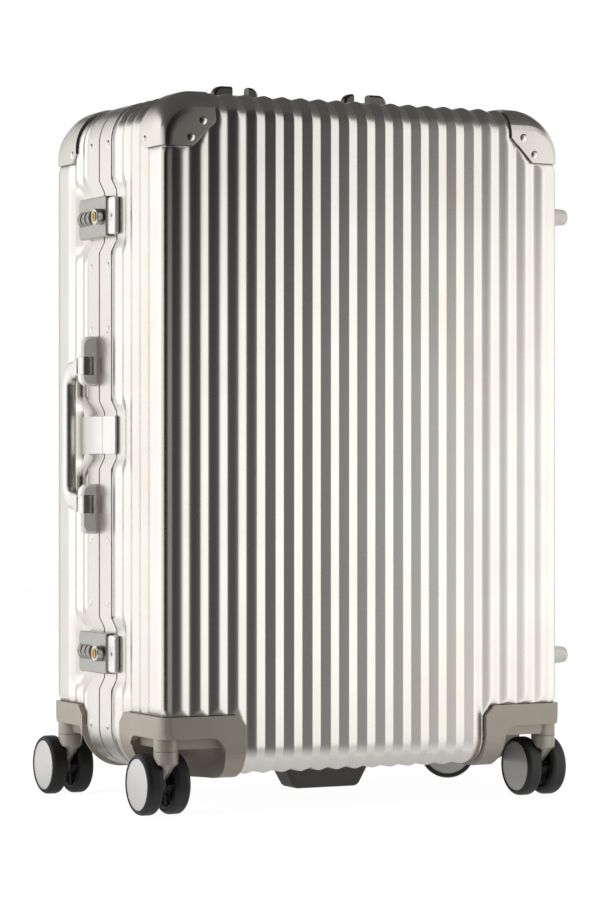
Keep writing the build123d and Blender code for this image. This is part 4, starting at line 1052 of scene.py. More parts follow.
@dataclass
class ShellPressing:
    """Pressed sheet of one half: face ribs over the top and bottom edges, side ribs, lands and scoops."""

    half: Half
    core_wide: float = 208.0
    core_tall: float = 328.0
    rim_land: float = 2.2
    rim_run: float = 6.5
    land_rise: float = 5.0
    guard: CornerPatch = CornerPatch(
        upward=1, level=699.2, face_reach=180.0, face_cut=27.0, side_reach=86.5, side_cut=10.0
    )
    scoop_dip: float = 9.4
    scoop_slope: float = 0.5
    lock_scoop: float = 27.0
    plate_scoop: float = 25.0
    lip_start: float = 0.2
    band_slope: float = 3.0
    band_fill: float = 0.6
    band_fill_run: float = 5.0
    face_blend: float = 2.0
    post_blend: float = 1.0
    band_blend: float = 0.6
    land_blend: float = 1.2
    scoop_blend: float = 1.5
    well_r: float = 65.7
    well_top: float = 93.4
    bezel: tuple[float, float, float] = (119.0, 104.0, 140.0)
    pan: tuple[float, float, float] = (16.8, 52.9, 18.2)

    @property
    def housing(self) -> CornerPatch:
        """Outline of the half's housings, which reach further round the side on the front half."""
        reach = 63.0 if self.half is Half.REAR else 36.5
        return CornerPatch(-1, level=104.2, face_reach=146.0, face_cut=11.0, side_reach=reach, side_cut=11.0)

    @property
    def scoops(self) -> list[tuple[float, float]]:
        """Height and half height of each scoop: those of the locks and that of the centre plate."""
        return [(level, self.lock_scoop) for level in BODY.locks] + [(BODY.mid_z, self.plate_scoop)]

    @property
    def scoop_reach(self) -> float:
        """How far the scoops reach from the split."""
        return 62.0 if self.half is Half.REAR else 57.0

    @property
    def scoop_lip(self) -> float:
        """How far the scoop's floor rises beside the band; none under the dials."""
        return 0.0 if self.half is Half.REAR else 2.2

    def from_fitting(self, x: Array, s: Array, z: Array) -> Array:
        """How far points lie outside the nearest guard or housing, negative under it."""
        return np.minimum(self.guard.away(x, s, z), self.housing.away(x, s, z))

    def land_depth(self, x: Array, s: Array, z: Array) -> Array:
        """Depth of the lands: full under a guard or housing, shallower at its edge, falling off outside.

        Args:
            x: Sideways places.
            s: Depths from the middle.
            z: Heights.

        Returns:
            One depth for each point.
        """
        away = self.from_fitting(x, s, z)
        under = self.rim_land + (BODY.land - self.rim_land) * np.clip(-away, 0, 1)
        depth = np.where(away > 0, self.rim_land * (1 - away / self.rim_run), under)
        return np.clip(depth, -self.land_rise, BODY.land)

    def field(self, p: Array) -> Array:
        """Signed field of the pressed sheet's outer face.

        It is the soft intersection of the face cut with its ribs, the side outline with its ribs, the posts,
        the band's land, the lands at the corners and the scoops.

        Args:
            p: Points in millimetres.

        Returns:
            One value for each point, negative inside.
        """
        x, s, z = p[:, 0], self.half.value * p[:, 1], p[:, 2]
        ax, az = np.abs(x) - BODY.half_wide, np.abs(z - BODY.mid_z) - BODY.half_tall
        across = rounded_corner(s - BODY.wall, az, BODY.edge_r) + rib_wave(x)
        a, b = ax + BODY.corner_r, az + BODY.corner_r
        bend = np.clip(np.arctan2(b, a), 0, BODY.fade)
        from_split = self.half.value * (p[:, 1] - BODY.split)
        past_band = from_split - BODY.band
        ribs = np.where(s < BODY.first_side_rib, rib_wave(s - BODY.first_side_rib), 0.0)
        ribs = ribs * (1 - self.band_fill * np.exp(-(past_band / self.band_fill_run) ** 2))
        around = a * np.cos(bend) + b * np.sin(bend) - BODY.corner_r + ribs
        total = soft_max(across, around, self.face_blend)
        total = soft_max(total, rounded_corner(ax, s - BODY.wall, BODY.post_r), self.post_blend)
        outline = rounded_corner(ax, az, BODY.corner_r)
        band = outline + BODY.land - self.band_slope * np.clip(past_band, 0, None)
        total = soft_max(total, band, self.band_blend)
        total = soft_max(total, smooth_hull(x, s, z, self.land_depth(x, s, z)), self.land_blend)
        lip = np.clip(self.band_slope * (past_band - self.lip_start), 0, self.scoop_lip)
        for centre, tall in self.scoops:
            outside = np.maximum(np.abs(z - centre) - tall, from_split - self.scoop_reach)
            slope = self.scoop_slope * np.clip(outside, 0, None)
            hollow = -x - BODY.half_wide + self.scoop_dip - lip - slope
            total = soft_max(total, hollow, self.scoop_blend)
        return total

    def row_levels(self) -> Array:
        """Heights of the grid's rows: close where the lands and scoops are, wide apart on the plain ribs.

        Returns:
            The heights in rising order, with those of the lock bodies' edges among them.
        """
        low, high = BODY.mid_z - self.core_tall, BODY.mid_z + self.core_tall
        past = (low, GRID.housing_rows[0]), (GRID.guard_rows[1], high)
        ends = [np.arange(*rows, GRID.end_step) for rows in past]
        lands = [np.arange(*rows, GRID.edge_step) for rows in (GRID.housing_rows, GRID.guard_rows)]
        reach = [(z, tall + GRID.scoop_margin) for z, tall in self.scoops]
        scoops = [np.arange(z - r, z + r + 0.5, GRID.scoop_step) for z, r in reach]
        even = np.linspace(low, high, GRID.plain_rows)
        levels = np.unique(np.round(np.concatenate([*ends, *lands, *scoops, even, [high]]), 1))
        levels = levels[np.concatenate([[True], np.diff(levels) > GRID.row_gap])]
        pans = (np.array(BODY.locks)[:, None] + self.pan[2] * np.array([-1.0, 1.0])).ravel()
        clear = np.abs(levels[:, None] - pans).min(axis=1) > GRID.pan_gap
        return np.sort(np.concatenate([levels[clear], pans]))

    def rib_grid(self, low: float, high: float, ridge: float) -> Array:
        """Grid lines across ribs: close together at each ridge and trough, and none on the flat flanks.

        Args:
            low: First line.
            high: Last line.
            ridge: Place of one ridge.

        Returns:
            The lines in rising order.
        """
        turn = ridge + BODY.rib_pitch / 2 * np.arange(-GRID.rib_count, GRID.rib_count + 1)
        lines = (turn[:, None] + np.array(GRID.rib_lines)).ravel()
        lines = lines[(lines > low + GRID.line_gap) & (lines < high - GRID.line_gap)]
        return np.concatenate([[low], lines, [high]])

    def column_lines(self) -> Array:
        """Grid lines across the broad face: the ribs' own, and close ones near the corners between them.

        Returns:
            The lines in rising order.
        """
        lines = self.rib_grid(-self.core_wide, self.core_wide, 0.0)
        more = np.arange(GRID.corner_start, self.core_wide, GRID.corner_step)
        more = np.concatenate([-more, more])
        clear = np.abs(more[:, None] - lines).min(axis=1) > GRID.corner_step / 3
        return np.sort(np.concatenate([lines, more[clear]]))

    def depth_lines(self) -> Array:
        """Grid lines down the sides: the ribs' own, and close ones at the band and the lock bodies' edges.

        Returns:
            The lines from the broad face to the open edge.
        """
        sign = self.half.value
        end, band = (sign * (BODY.split + sign * reach) for reach in (BODY.shell_edge, BODY.band))
        lines = self.rib_grid(end, BODY.wall - BODY.edge_r, BODY.first_side_rib)
        more = band + np.array(GRID.band_lines)
        if self.half is Half.REAR:
            more = np.concatenate([more, BODY.split + np.array(self.pan[:2])])
        clear = np.abs(lines[:, None] - more).min(axis=1) > GRID.band_gap
        return sign * np.sort(np.concatenate([lines[clear], more]))[-2::-1]

    def cut_away(self, surface: Surface) -> Surface:
        """Leave out the faces over the wheel wells, and over the bezel and the lock bodies on the rear half.

        Args:
            surface: The whole pressing.

        Returns:
            The pressing with its openings.
        """
        x, y, z = surface.points[surface.faces].mean(axis=1).T
        far = np.hypot(np.abs(x) - BODY.swivel_x, self.half.value * y - BODY.swivel_y)
        gone = (far < self.well_r) & (z < self.well_top)
        if self.half is Half.REAR:
            wide, low, high = self.bezel
            gone |= (np.abs(x) < wide) & (y > low) & (y < high) & (z > BODY.mid_z)
            start, end, tall = self.pan
            by_lock = np.abs(z[:, None] - np.array(BODY.locks)).min(axis=1) < tall
            gone |= by_lock & (x < -self.core_wide) & (y > BODY.split + start) & (y < BODY.split + end)
        return Surface(surface.points, surface.faces[~gone], surface.uv)

    def build(self, shop: Workshop) -> None:
        """Make the pressing, with the sheet's thickness inwards.

        Args:
            shop: Workshop that makes the piece.
        """
        face_steps, side_steps = GRID.fan_steps
        face_fan = np.linspace(0, np.pi / 4, face_steps)
        side_fan = np.linspace(np.pi / 4, np.pi / 2, side_steps)
        tray = TrayMesh(
            columns=self.column_lines(),
            rows=self.row_levels(),
            core_depth=BODY.wall - BODY.edge_r,
            fan=np.concatenate([face_fan[1:], side_fan[1:]]),
            depths=self.depth_lines(),
            half_wide=BODY.half_wide,
            half_tall=BODY.half_tall,
            corner_r=BODY.corner_r,
        )
        node = f"{self.half.word}_shell"
        mesh = shop.mesh(f"{node}_pressing", self.cut_away(tray.cast(self.half, self.field, GRID.ray)))
        x, y, z = (points_of(mesh) / MM - shop.middle).T
        away = self.from_fitting(x, self.half.value * y, z)
        mesh.attributes.new("from_fitting", "FLOAT", "POINT").data.foreach_set("value", away)
        made = shop.piece(f"{node}_pressing", mesh, self.half.body, PRESSED_SHEET, "shell_aluminium", [node])
        thicken(made, "sheet", BODY.sheet)
        made.modifiers.new("flat flanks", "WEIGHTED_NORMAL")


# Casters


@dataclass
class Wheel:
    """One of a caster's twin wheels: a rounded tyre, a pale cap outside and a spoked inner face."""

    name: str
    radius: float = 32.5
    wide: float = 19.0
    gap: float = 12.0
    tyre: float = 4.7
    tyre_round: float = 6.0
    fit: float = 0.15
    cap_sink: float = 1.2
    cap_dome: float = 1.0
    cap_roll: float = 0.9
    cap_back: float = 5.0
    hub_back: float = 5.2
    bore: float = 3.05
    boss_r: float = 7.6
    boss_proud: float = 0.9
    ring_start: float = 5.0
    spoke_count: int = 5
    spoke_half: float = 2.6
    pocket_start: float = 9.0
    pocket_deep: float = 5.5
    pocket_round: float = 1.6
    steps: int = 96

    def place(self) -> tuple[Array, Array]:
        """Read where the wheel's joint is.

        Returns:
            Middle of the wheel's inner face in the row frame in millimetres, and its outward axis.
        """
        joint = joint_of(self.name)
        axis = np.array(joint["axis"], float)
        axis /= np.linalg.norm(axis)
        hand = 1.0 if self.name.endswith("right_wheel") else -1.0
        return np.array(joint["pos_m"]) / MM + hand * axis * self.gap / 2, hand * axis

    @property
    def hub_r(self) -> float:
        """Radius of the cap and the hub inside the tyre."""
        return self.radius - self.tyre - self.fit

    def tyre_profile(self) -> Array:
        """Ring section: flat bore and a tread whose shoulders are wide quarter rounds, cut off at the bore.

        Returns:
            A closed loop of (distance along the axle, radius) pairs.
        """
        r, middle = self.tyre_round, self.radius - self.tyre_round
        turn = np.linspace(math.asin(1 - self.tyre / r), np.pi / 2, 12)
        near = np.stack([r - r * np.cos(turn), middle + r * np.sin(turn)], axis=-1)
        along = np.linspace(r, self.wide - r, 5)[1:-1]
        tread = np.stack([along, np.full(along.size, self.radius)], axis=-1)
        far = near[::-1] * (-1, 1) + (self.wide, 0)
        return np.concatenate([near, tread, far])

    def cap_profile(self) -> Array:
        """Disc section: a dome that falls with the square of the radius, a rolled rim, and a flat back.

        Returns:
            A closed loop of (distance along the axle, radius) pairs.
        """
        share, turn = np.linspace(0.0, 1.0, 14), np.linspace(np.pi / 2, 0, 5)[1:]
        edge, roll = self.wide - self.cap_sink, self.cap_roll
        face = np.stack([edge + self.cap_dome * (1 - share ** 2), share * (self.hub_r - roll)], axis=-1)
        rim = np.stack([edge - roll + roll * np.sin(turn), self.hub_r - roll + roll * np.cos(turn)], axis=-1)
        behind = self.wide - self.cap_back
        return np.concatenate([face, rim, [[behind, self.hub_r], [behind, 0.0]]])

    def spokes(self, centre: Array, axis: Array) -> Surface:
        """Inner face of the hub: its depth falls into five rounded pockets between the spokes.

        The pocket's depth is the product of a bump over the radius and a bump over the angle.

        Args:
            centre: Middle of the wheel's inner face.
            axis: Outward axis.

        Returns:
            The hub, closed behind.
        """
        angle = np.linspace(0, 2 * np.pi, self.steps, endpoint=False)
        radius = np.concatenate([[self.bore], np.linspace(self.ring_start, self.hub_r, 20)])
        turn, out = np.meshgrid(angle, radius, indexing="ij")
        room = np.minimum(out - self.pocket_start, self.hub_r - self.spoke_half - out)
        ring = np.clip(room / self.pocket_round, 0, 1)
        beside = np.abs(np.sin(self.spoke_count / 2 * turn)) * out - self.spoke_half
        spoke = np.clip(beside / self.pocket_round, 0, 1)
        pocket = self.pocket_deep * (ring * ring * (3 - 2 * ring)) * (spoke * spoke * (3 - 2 * spoke))
        boss = np.where(out < self.boss_r, 0.0, self.boss_proud)
        side = np.cross(axis, (0.0, 0.0, 1.0))
        up = np.cross(side, axis)
        spoke_way = np.cos(turn)[..., None] * side + np.sin(turn)[..., None] * up
        front = centre + (pocket + boss)[..., None] * axis + out[..., None] * spoke_way
        behind = centre + (self.wide - self.hub_back) * axis
        rim, back = behind + self.hub_r * spoke_way[:, -1:], behind + self.bore * spoke_way[:, :1]
        points = np.concatenate([front, rim, back], axis=1)
        return Surface(points.reshape(-1, 3), grid_faces(self.steps, points.shape[1], True, True))

    def build(self, shop: Workshop) -> None:
        """Make the three pieces of the wheel on its body.

        Args:
            shop: Workshop that makes them.
        """
        centre, axis = self.place()
        centre = centre - shop.middle
        stem = self.name.removesuffix("_wheel")
        tyre = turned(self.tyre_profile()[::-1], centre, axis, self.steps)
        cap = turned(self.cap_profile()[::-1], centre, axis, self.steps)
        for name, surface, finish, stands_for in (
            (f"{stem}_tyre", tyre, TYRE_PU, [self.name]),
            (f"{stem}_cap", cap, CAP_ABS, []),
            (f"{stem}_hub", self.spokes(centre, axis), SPOKE_NYLON, []),
        ):
            shop.piece(name, shop.mesh(name, surface), self.name, finish, "wheel_rubber", stands_for)


@dataclass
class MouthCorner:
    """Fillet in an upper corner of a well's mouth: the corner less a quarter circle, as thick as the lip."""

    name: str
    half: Half
    radius: float
    corner: Array
    into: Array
    out: Array
    deep: float = 8.5
    sink: float = 0.06
    tuck: float = 2.5
    crease: float = 32.0
    steps: int = 14

    def build(self, shop: Workshop) -> None:
        """Make the fillet: the profile is carried from the mouth's outer face inwards.

        Args:
            shop: Workshop that makes it.
        """
        turn, r = np.linspace(0, np.pi / 2, self.steps), self.radius
        arc = np.stack([r - r * np.cos(turn), r * np.sin(turn) - r], axis=-1)
        edge = np.array([[-self.tuck, self.tuck], [-self.tuck, -r]])
        loop = np.concatenate([edge, arc, [[r, self.tuck]]])
        up = np.array([0.0, 0.0, 1.0])
        ends = self.corner - np.array([[self.sink], [self.deep]]) * self.out
        if np.dot(np.cross(self.into, up), self.out) > 0:
            ends = ends[::-1]
        made = swept(ends, np.stack([self.into] * 2), np.stack([up] * 2), loop, False)
        mesh = shop.mesh(self.name, made)
        mesh.set_sharp_from_angle(angle=math.radians(self.crease))
        shop.piece(self.name, mesh, self.half.body, HOUSING_NYLON, "housing_plastic")


@dataclass
class Casters:
    """Housings, forks and twin wheels of all four corners."""

    hands: tuple[str, str] = ("left", "right")
    proud: float = 3.0
    well_r: float = 63.0
    mouth_top: float = 81.2
    face_round: float = 16.0
    side_round: float = 10.0
    housing_edge: float = 0.8
    fork_crease: float = 40.0

    def mouth_corners(self, shop: Workshop, half: Half, hand: int) -> None:
        """Round the mouth's two upper corners, where the round well meets the broad face and the side.

        Args:
            shop: Workshop that makes the fillets.
            half: Half of the case.
            hand: Minus one on the left, one on the right.
        """
        face, side = BODY.wall + self.proud, BODY.half_wide + self.proud
        reach_x = BODY.swivel_x - math.sqrt(self.well_r ** 2 - (face - BODY.swivel_y) ** 2)
        reach_s = BODY.swivel_y - math.sqrt(self.well_r ** 2 - (side - BODY.swivel_x) ** 2)
        across, along = np.array([float(hand), 0.0, 0.0]), np.array([0.0, float(half.value), 0.0])
        name = f"{half.word}_{self.hands[hand > 0]}_mouth"
        top = np.array([0.0, 0.0, self.mouth_top])
        on_face, on_side = across * reach_x + along * face + top, across * side + along * reach_s + top
        MouthCorner(f"{name}_face_corner", half, self.face_round, on_face, across, along).build(shop)
        MouthCorner(f"{name}_side_corner", half, self.side_round, on_side, along, across).build(shop)

    def build(self, shop: Workshop) -> None:
        """Make every caster piece.

        Args:
            shop: Workshop that makes them.
        """
        for half in Half:
            self.mouth_corners(shop, half, -1)
            self.mouth_corners(shop, half, 1)
        for half in Half:
            shop.finished(f"{half.word}_caster_housings", HOUSING_NYLON, self.housing_edge, segments=3)
            for hand in self.hands:
                shop.finished(f"{half.word}_{hand}_fork", FORK_NYLON, crease=self.fork_crease)
                for wheel in self.hands:
                    Wheel(f"{half.word}_{hand}_{wheel}_wheel").build(shop)


# Locks


@dataclass
class Locks:
    """Both combination locks: covers, hasps, key barrels, slides, and dials with their numerals."""

    dial_r: float = 9.0
    dials: int = 3
    digits: int = 10
    digit_tall: float = 3.6
    proud: float = 0.03
    dot_r: float = 2.0
    dot_proud: float = 0.25
    dot_in: float = 8.0
    dot_rings: int = 6
    dot_steps: int = 24
    cover_edge: float = 0.3
    barrel_edge: float = 0.2
    plates: tuple[tuple[str, float], ...] = (
        ("lock_hasps", 1.6),
        ("centre_plate", 1.2),
        ("centre_striker", 1.6),
    )

    def digit_outlines(self) -> list[tuple[Array, Array]]:
        """Draw the numerals from nought to nine, centred and of the wanted height.

        Returns:
            Points and triangles of each numeral.
        """
        shapes = []
        for digit in range(self.digits):
            curve = bpy.data.curves.new(f"numeral_{digit}", "FONT")
            curve.body = str(digit)
            holder = bpy.data.objects.new(f"numeral_{digit}", curve)
            flat = bpy.data.meshes.new_from_object(holder)
            flat.calc_loop_triangles()
            corners = np.empty(len(flat.loop_triangles) * 3, np.int32)
            flat.loop_triangles.foreach_get("vertices", corners)
            spots = points_of(flat)[:, :2]
            low, high = spots.min(axis=0), spots.max(axis=0)
            spots = (spots - (low + high) / 2) * self.digit_tall / (high[1] - low[1])
            shapes.append((spots, corners.reshape(-1, 3)))
            bpy.data.objects.remove(holder)
            bpy.data.curves.remove(curve)
            bpy.data.meshes.remove(flat)
        return shapes

    def numerals(self, shop: Workshop, dial: str, shapes: list[tuple[Array, Array]]) -> None:
        """Wrap the ten numerals round a dial: height becomes an angle, and width runs along the dial's axis.

        Args:
            shop: Workshop that makes the piece.
            dial: Node and body of the dial.
            shapes: Points and triangles of the numerals.
        """
        centre = np.array(joint_of(dial)["pos_m"]) / MM - shop.middle
        reach = self.dial_r + self.proud
        made = Surface(np.zeros((0, 3)), np.zeros((0, 3), int))
        for digit, (spots, corners) in enumerate(shapes):
            angle = np.pi - 2 * np.pi * digit / self.digits - spots[:, 1] / self.dial_r
            ring = np.stack([reach * np.cos(angle), -spots[:, 0], reach * np.sin(angle)], axis=-1)
            made = made.joined(Surface(centre + ring, corners))
        mesh = shop.mesh(f"{dial}_numerals", made)
        shop.piece(f"{dial}_numerals", mesh, dial, DIGIT_FILL, "dial_plastic")

    def hasp_dots(self, shop: Workshop) -> None:
        """Small enamel dot on each hasp: a low dome, its height falling with the square of its radius.

        Args:
            shop: Workshop that makes the piece.
        """
        low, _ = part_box("lock_hasps")
        round_way = np.linspace(0, 2 * np.pi, self.dot_steps, endpoint=False)
        share, angle = np.meshgrid(np.linspace(0, 1, self.dot_rings), round_way, indexing="ij")
        faces = grid_faces(self.dot_rings, self.dot_steps, False, True)[:, ::-1]
        made = Surface(np.zeros((0, 3)), np.zeros((0, 4), int))
        for level in BODY.locks:
            x = low.x / MM - self.dot_proud * (1 - share ** 2)
            y = low.y / MM + self.dot_in + self.dot_r * share * np.cos(angle)
            dome = np.stack([x, y, level + self.dot_r * share * np.sin(angle)], axis=-1).reshape(-1, 3)
            made = made.joined(Surface(dome - shop.middle, faces))
        shop.piece("hasp_dots", shop.mesh("hasp_dots", made), "front_half", GREEN_DOT, "plate_steel")

    def build(self, shop: Workshop) -> None:
        """Make every lock piece.

        Args:
            shop: Workshop that makes them.
        """
        shop.finished("lock_cases", GREY_LOCK, self.cover_edge)
        for node, edge in self.plates:
            shop.finished(node, LACQUERED_PLATE, edge, segments=4)
        shapes = self.digit_outlines()
        for place in ("upper", "lower"):
            shop.finished(f"{place}_key_cylinder", TURNED_BRASS, self.barrel_edge)
            shop.finished(f"{place}_release_button", RELEASE_METAL, self.barrel_edge)
            for number in range(1, self.dials + 1):
                shop.finished(f"{place}_dial_{number}", DIAL_METAL)
                self.numerals(shop, f"{place}_dial_{number}", shapes)
        self.hasp_dots(shop)


# Inside


@dataclass
class Lining:
    """Cloth tray inside one half: it follows the walls, rounds the wheel wells, and creases a little."""

    half: Half
    inset: float = 18.0
    floor_r: float = 14.0
    well_r: float = 70.5
    well_top: float = 98.6
    well_blend: float = 6.0
    bezel: tuple[float, float, float] = (122.6, 100.4, 736.6)
    bezel_blend: float = 3.0
    thick: float = 1.2
    crease: float = 0.45
    crease_share: float = 0.66
    long_crease: tuple[float, float, float] = (31.0, 57.0, 0.7)
    cross_crease: tuple[float, float, float] = (43.0, 83.0, 1.9)
    short_crease: tuple[float, float, float] = (17.0, 29.0, 21.0)
    edge_gap: float = 1.7
    core_drop: float = 16.0
    core_wide: float = 150.0
    core_levels: tuple[float, float] = (113.2, 701.2)
    core_lines: tuple[int, int] = (61, 110)
    edge_lines: tuple[int, int] = (41, 22)
    ray: float = 130.0

    @property
    def floor(self) -> float:
        """Depth of the lining's floor from the middle."""
        return 109.8 if self.half is Half.REAR else 129.3

    def creases(self, x: Array, s: Array, z: Array) -> Array:
        """Long soft creases: a product of two slow sines of the position, and half of a quicker sine.

        Args:
            x: Sideways places.
            s: Depths from the middle.
            z: Heights.

        Returns:
            One height for each point.
        """
        long_x, long_z, long_start = self.long_crease
        cross_z, cross_x, cross_start = self.cross_crease
        short_x, short_z, short_s = self.short_crease
        slow = np.sin(x / long_x + z / long_z + long_start) * np.sin(z / cross_z - x / cross_x + cross_start)
        quick = np.sin(x / short_x - z / short_z + s / short_s)
        return self.crease * (1 + self.crease_share * (slow + 0.5 * quick))

    def field(self, p: Array) -> Array:
        """Signed field of the packing space: a tray with rounded floor edges, less the wells and the bezel.

        Args:
            p: Points in millimetres.

        Returns:
            One value for each point, negative inside.
        """
        x, s, z = p[:, 0], self.half.value * p[:, 1], p[:, 2]
        ax = np.abs(x) - BODY.half_wide + self.inset
        az = np.abs(z - BODY.mid_z) - BODY.half_tall + self.inset
        outline = rounded_corner(ax, az, BODY.corner_r - self.inset)
        tray = rounded_corner(outline, s - self.floor, self.floor_r) + self.creases(x, s, z)
        far = np.hypot(np.abs(x) - BODY.swivel_x, s - BODY.swivel_y)
        total = soft_max(tray, np.minimum(self.well_r - far, self.well_top - z), self.well_blend)
        if self.half is Half.REAR:
            wide, low, base = self.bezel
            box = np.minimum(np.minimum(wide - np.abs(x), s - low), z - base)
            total = soft_max(total, box, self.bezel_blend)
        return total

    def build(self, shop: Workshop) -> None:
        """Make the cloth, facing the packing space.

        Args:
            shop: Workshop that makes it.
        """
        core = self.floor - self.core_drop
        end = BODY.split + self.half.value * self.edge_gap
        wide, tall = BODY.half_wide - self.inset, BODY.half_tall - self.inset
        columns, rows = self.core_lines
        fan, depths = self.edge_lines
        tray = TrayMesh(
            columns=np.linspace(-self.core_wide, self.core_wide, columns),
            rows=np.linspace(*self.core_levels, rows),
            core_depth=core,
            fan=np.linspace(0, np.pi / 2, fan)[1:],
            depths=np.linspace(self.half.value * core, end, depths)[1:],
            half_wide=wide,
            half_tall=tall,
            corner_r=BODY.corner_r - self.inset,
        )
        surface = tray.cast(self.half, self.field, self.ray)
        surface = Surface(surface.points, surface.faces[:, ::-1], surface.uv)
        node = f"{self.half.word}_lining"
        mesh = shop.mesh(f"{node}_cloth", surface)
        made = shop.piece(f"{node}_cloth", mesh, self.half.body, LINING_CLOTH, "lining_fabric", [node])
        thicken(made, "cloth", self.thick)
        depth = abs(self.half.value * self.floor - BODY.split)


@dataclass
class Pocket:
    """Zipped pocket on the front lining: a crowned cloth panel, a bound edge, and a zip with a slider."""

    wide: float = 376.0
    tall: float = 556.0
    thick: float = 0.8
    round_r: float = 24.0
    base: float = -128.6
    crown: float = 2.6
    panel_lines: tuple[int, int] = (90, 120)
    corner_share: tuple[float, float] = (0.9, 0.93)
    corner_slack: float = 0.06
    fold: float = 0.35
    fold_runs: tuple[float, float] = (19.0, 37.0)
    fold_level: float = -0.55
    fold_band: float = 0.35
    seam: float = 1.1
    seam_wide: float = 5.0
    binding_r: float = 1.7
    binding_rise: float = 0.7
    zip_drop: float = 60.0
    zip_margin: float = 22.0
    zip_across: tuple[float, ...] = (-6.0, -2.2, -2.0, -1.0, 1.0, 2.0, 2.2, 6.0)
    zip_steps: int = 420
    zip_sink: float = 0.2
    tooth_half: float = 2.1
    tooth_tall: float = 0.9
    tooth_pitch: float = 3.4
    tooth_share: tuple[float, float] = (0.55, 0.45)
    slider_at: float = -120.0
    slider_ends: tuple[float, float] = (-11.0, 13.0)
    slider_body: tuple[float, float] = (-5.0, 7.5)
    slider_curve: float = 0.35
    slider_half: tuple[float, float] = (1.6, 2.9)
    tab_share: float = 0.55
    slider_lift: tuple[float, float] = (0.7, 1.2)
    slider_lines: tuple[int, int] = (40, 16)

    @property
    def zip_level(self) -> float:
        """Height of the zip."""
        return BODY.mid_z + self.tall / 2 - self.zip_drop

    def panel(self) -> Surface:
        """Crowned panel: its height is a product of flat-topped bumps, with sag folds and a dip at the zip.

        Returns:
            The panel, mapped across and along.
        """
        columns, rows = self.panel_lines
        u, v = np.meshgrid(np.linspace(-1, 1, columns), np.linspace(-1, 1, rows))
        past_u, past_v = (np.clip(np.abs(t) - share, 0, None) for t, share in zip((u, v), self.corner_share))
        shrink = 1 - np.clip(np.hypot(past_u, past_v) - self.corner_slack, 0, None)
        x, z = u * self.wide / 2 * shrink, BODY.mid_z + v * self.tall / 2 * shrink
        bump = (1 - u ** 8) * (1 - v ** 10)
        run_x, run_z = self.fold_runs
        sag = np.exp(-((v - self.fold_level) / self.fold_band) ** 2)
        fold = self.fold * np.sin(x / run_x + 0.3 * np.sin(z / run_z)) * sag
        seam = -self.seam * np.exp(-((z - self.zip_level) / self.seam_wide) ** 2)
        y = self.base + (self.crown + fold + seam) * bump
        points = np.stack([x, y, z], axis=-1).reshape(-1, 3)
        uv = np.stack([x, z], axis=-1).reshape(-1, 2)
        return Surface(points, grid_faces(rows, columns)[:, ::-1], uv)

    def binding(self) -> Surface:
        """Round binding: a circle carried along the panel's rounded edge.

        Returns:
            The binding.
        """
        loop = rounded_loop(self.wide / 2, self.tall / 2, self.round_r, 10)
        level = np.full(len(loop), self.base + self.binding_rise)
        path = np.stack([loop[:, 0], level, loop[:, 1] + BODY.mid_z], axis=-1)
        ahead = np.roll(path, -1, axis=0) - np.roll(path, 1, axis=0)
        ahead /= np.linalg.norm(ahead, axis=1, keepdims=True)
        up = np.broadcast_to(np.array([0.0, 1.0, 0.0]), path.shape)
        turn = np.linspace(0, 2 * np.pi, 12, endpoint=False)
        ring = self.binding_r * np.stack([np.cos(turn), np.sin(turn)], axis=-1)
        return swept(path, np.cross(ahead, up), up, ring, True)

    def zip_line(self) -> Surface:
        """Zip across the pocket: a flat tape whose middle rises into teeth, a square wave along its length.

        Returns:
            The tape with its teeth.
        """
        end = self.wide / 2 - self.zip_margin
        x, across = np.linspace(-end, end, self.zip_steps), np.array(self.zip_across)
        level, swing = self.tooth_share
        wave = level + swing * np.sign(np.sin(2 * np.pi * x / self.tooth_pitch))
        tooth = np.where(np.abs(across) < self.tooth_half, 1.0, 0.0)[None] * wave[:, None]
        y = self.base + self.crown - self.zip_sink + self.tooth_tall * tooth
        z = np.broadcast_to(self.zip_level + across, y.shape)
        points = np.stack([np.broadcast_to(x[:, None], y.shape), y, z], axis=-1)
        return Surface(points.reshape(-1, 3), grid_faces(len(x), len(across)))

    def slider(self) -> Surface:
        """Slider and pull tab: a rounded plate swept along X, higher over its body and thin over its tab.

        Returns:
            The slider, closed at both ends.
        """
        stations, count = self.slider_lines
        x = np.linspace(*self.slider_ends, stations)
        middle, reach = self.slider_body
        body = np.clip(1 - np.abs(x - middle) / reach, 0, 1) ** self.slider_curve
        half = self.slider_half[0] + self.slider_half[1] * np.maximum(body, self.tab_share)
        lift = self.slider_lift[0] + self.slider_lift[1] * body
        turn = np.linspace(0, 2 * np.pi, count, endpoint=False)
        z = self.zip_level + half[:, None] * np.cos(turn)
        y = self.base + self.crown + self.slider_lift[0] + lift[:, None] * (0.5 + 0.5 * np.sin(turn))
        points = np.stack([np.broadcast_to(x[:, None] + self.slider_at, y.shape), y, z], axis=-1)
        around = grid_faces(stations, count, False, True)[:, ::-1]
        start, end = np.arange(count), np.arange(count)[::-1] + (stations - 1) * count
        return Surface(points.reshape(-1, 3), np.concatenate([around, fan_faces(start), fan_faces(end)]))

    def build(self, shop: Workshop) -> None:
        """Make the pocket's pieces.

        Args:
            shop: Workshop that makes them.
        """
        mesh = shop.mesh("front_pocket_panel", self.panel())
        panel = shop.piece(
            "front_pocket_panel", mesh, "front_half", POCKET_CLOTH, "pocket_fabric", ["front_pocket"]
        )
        thicken(panel, "cloth", self.thick)
        for name, surface, finish in (
            ("front_pocket_binding", self.binding(), PIPING_CLOTH),
            ("front_pocket_zip", self.zip_line(), ZIP_METAL),
            ("front_pocket_slider", self.slider(), ZIP_METAL),
        ):
            shop.piece(name, shop.mesh(name, surface), "front_half", finish, "pocket_fabric")


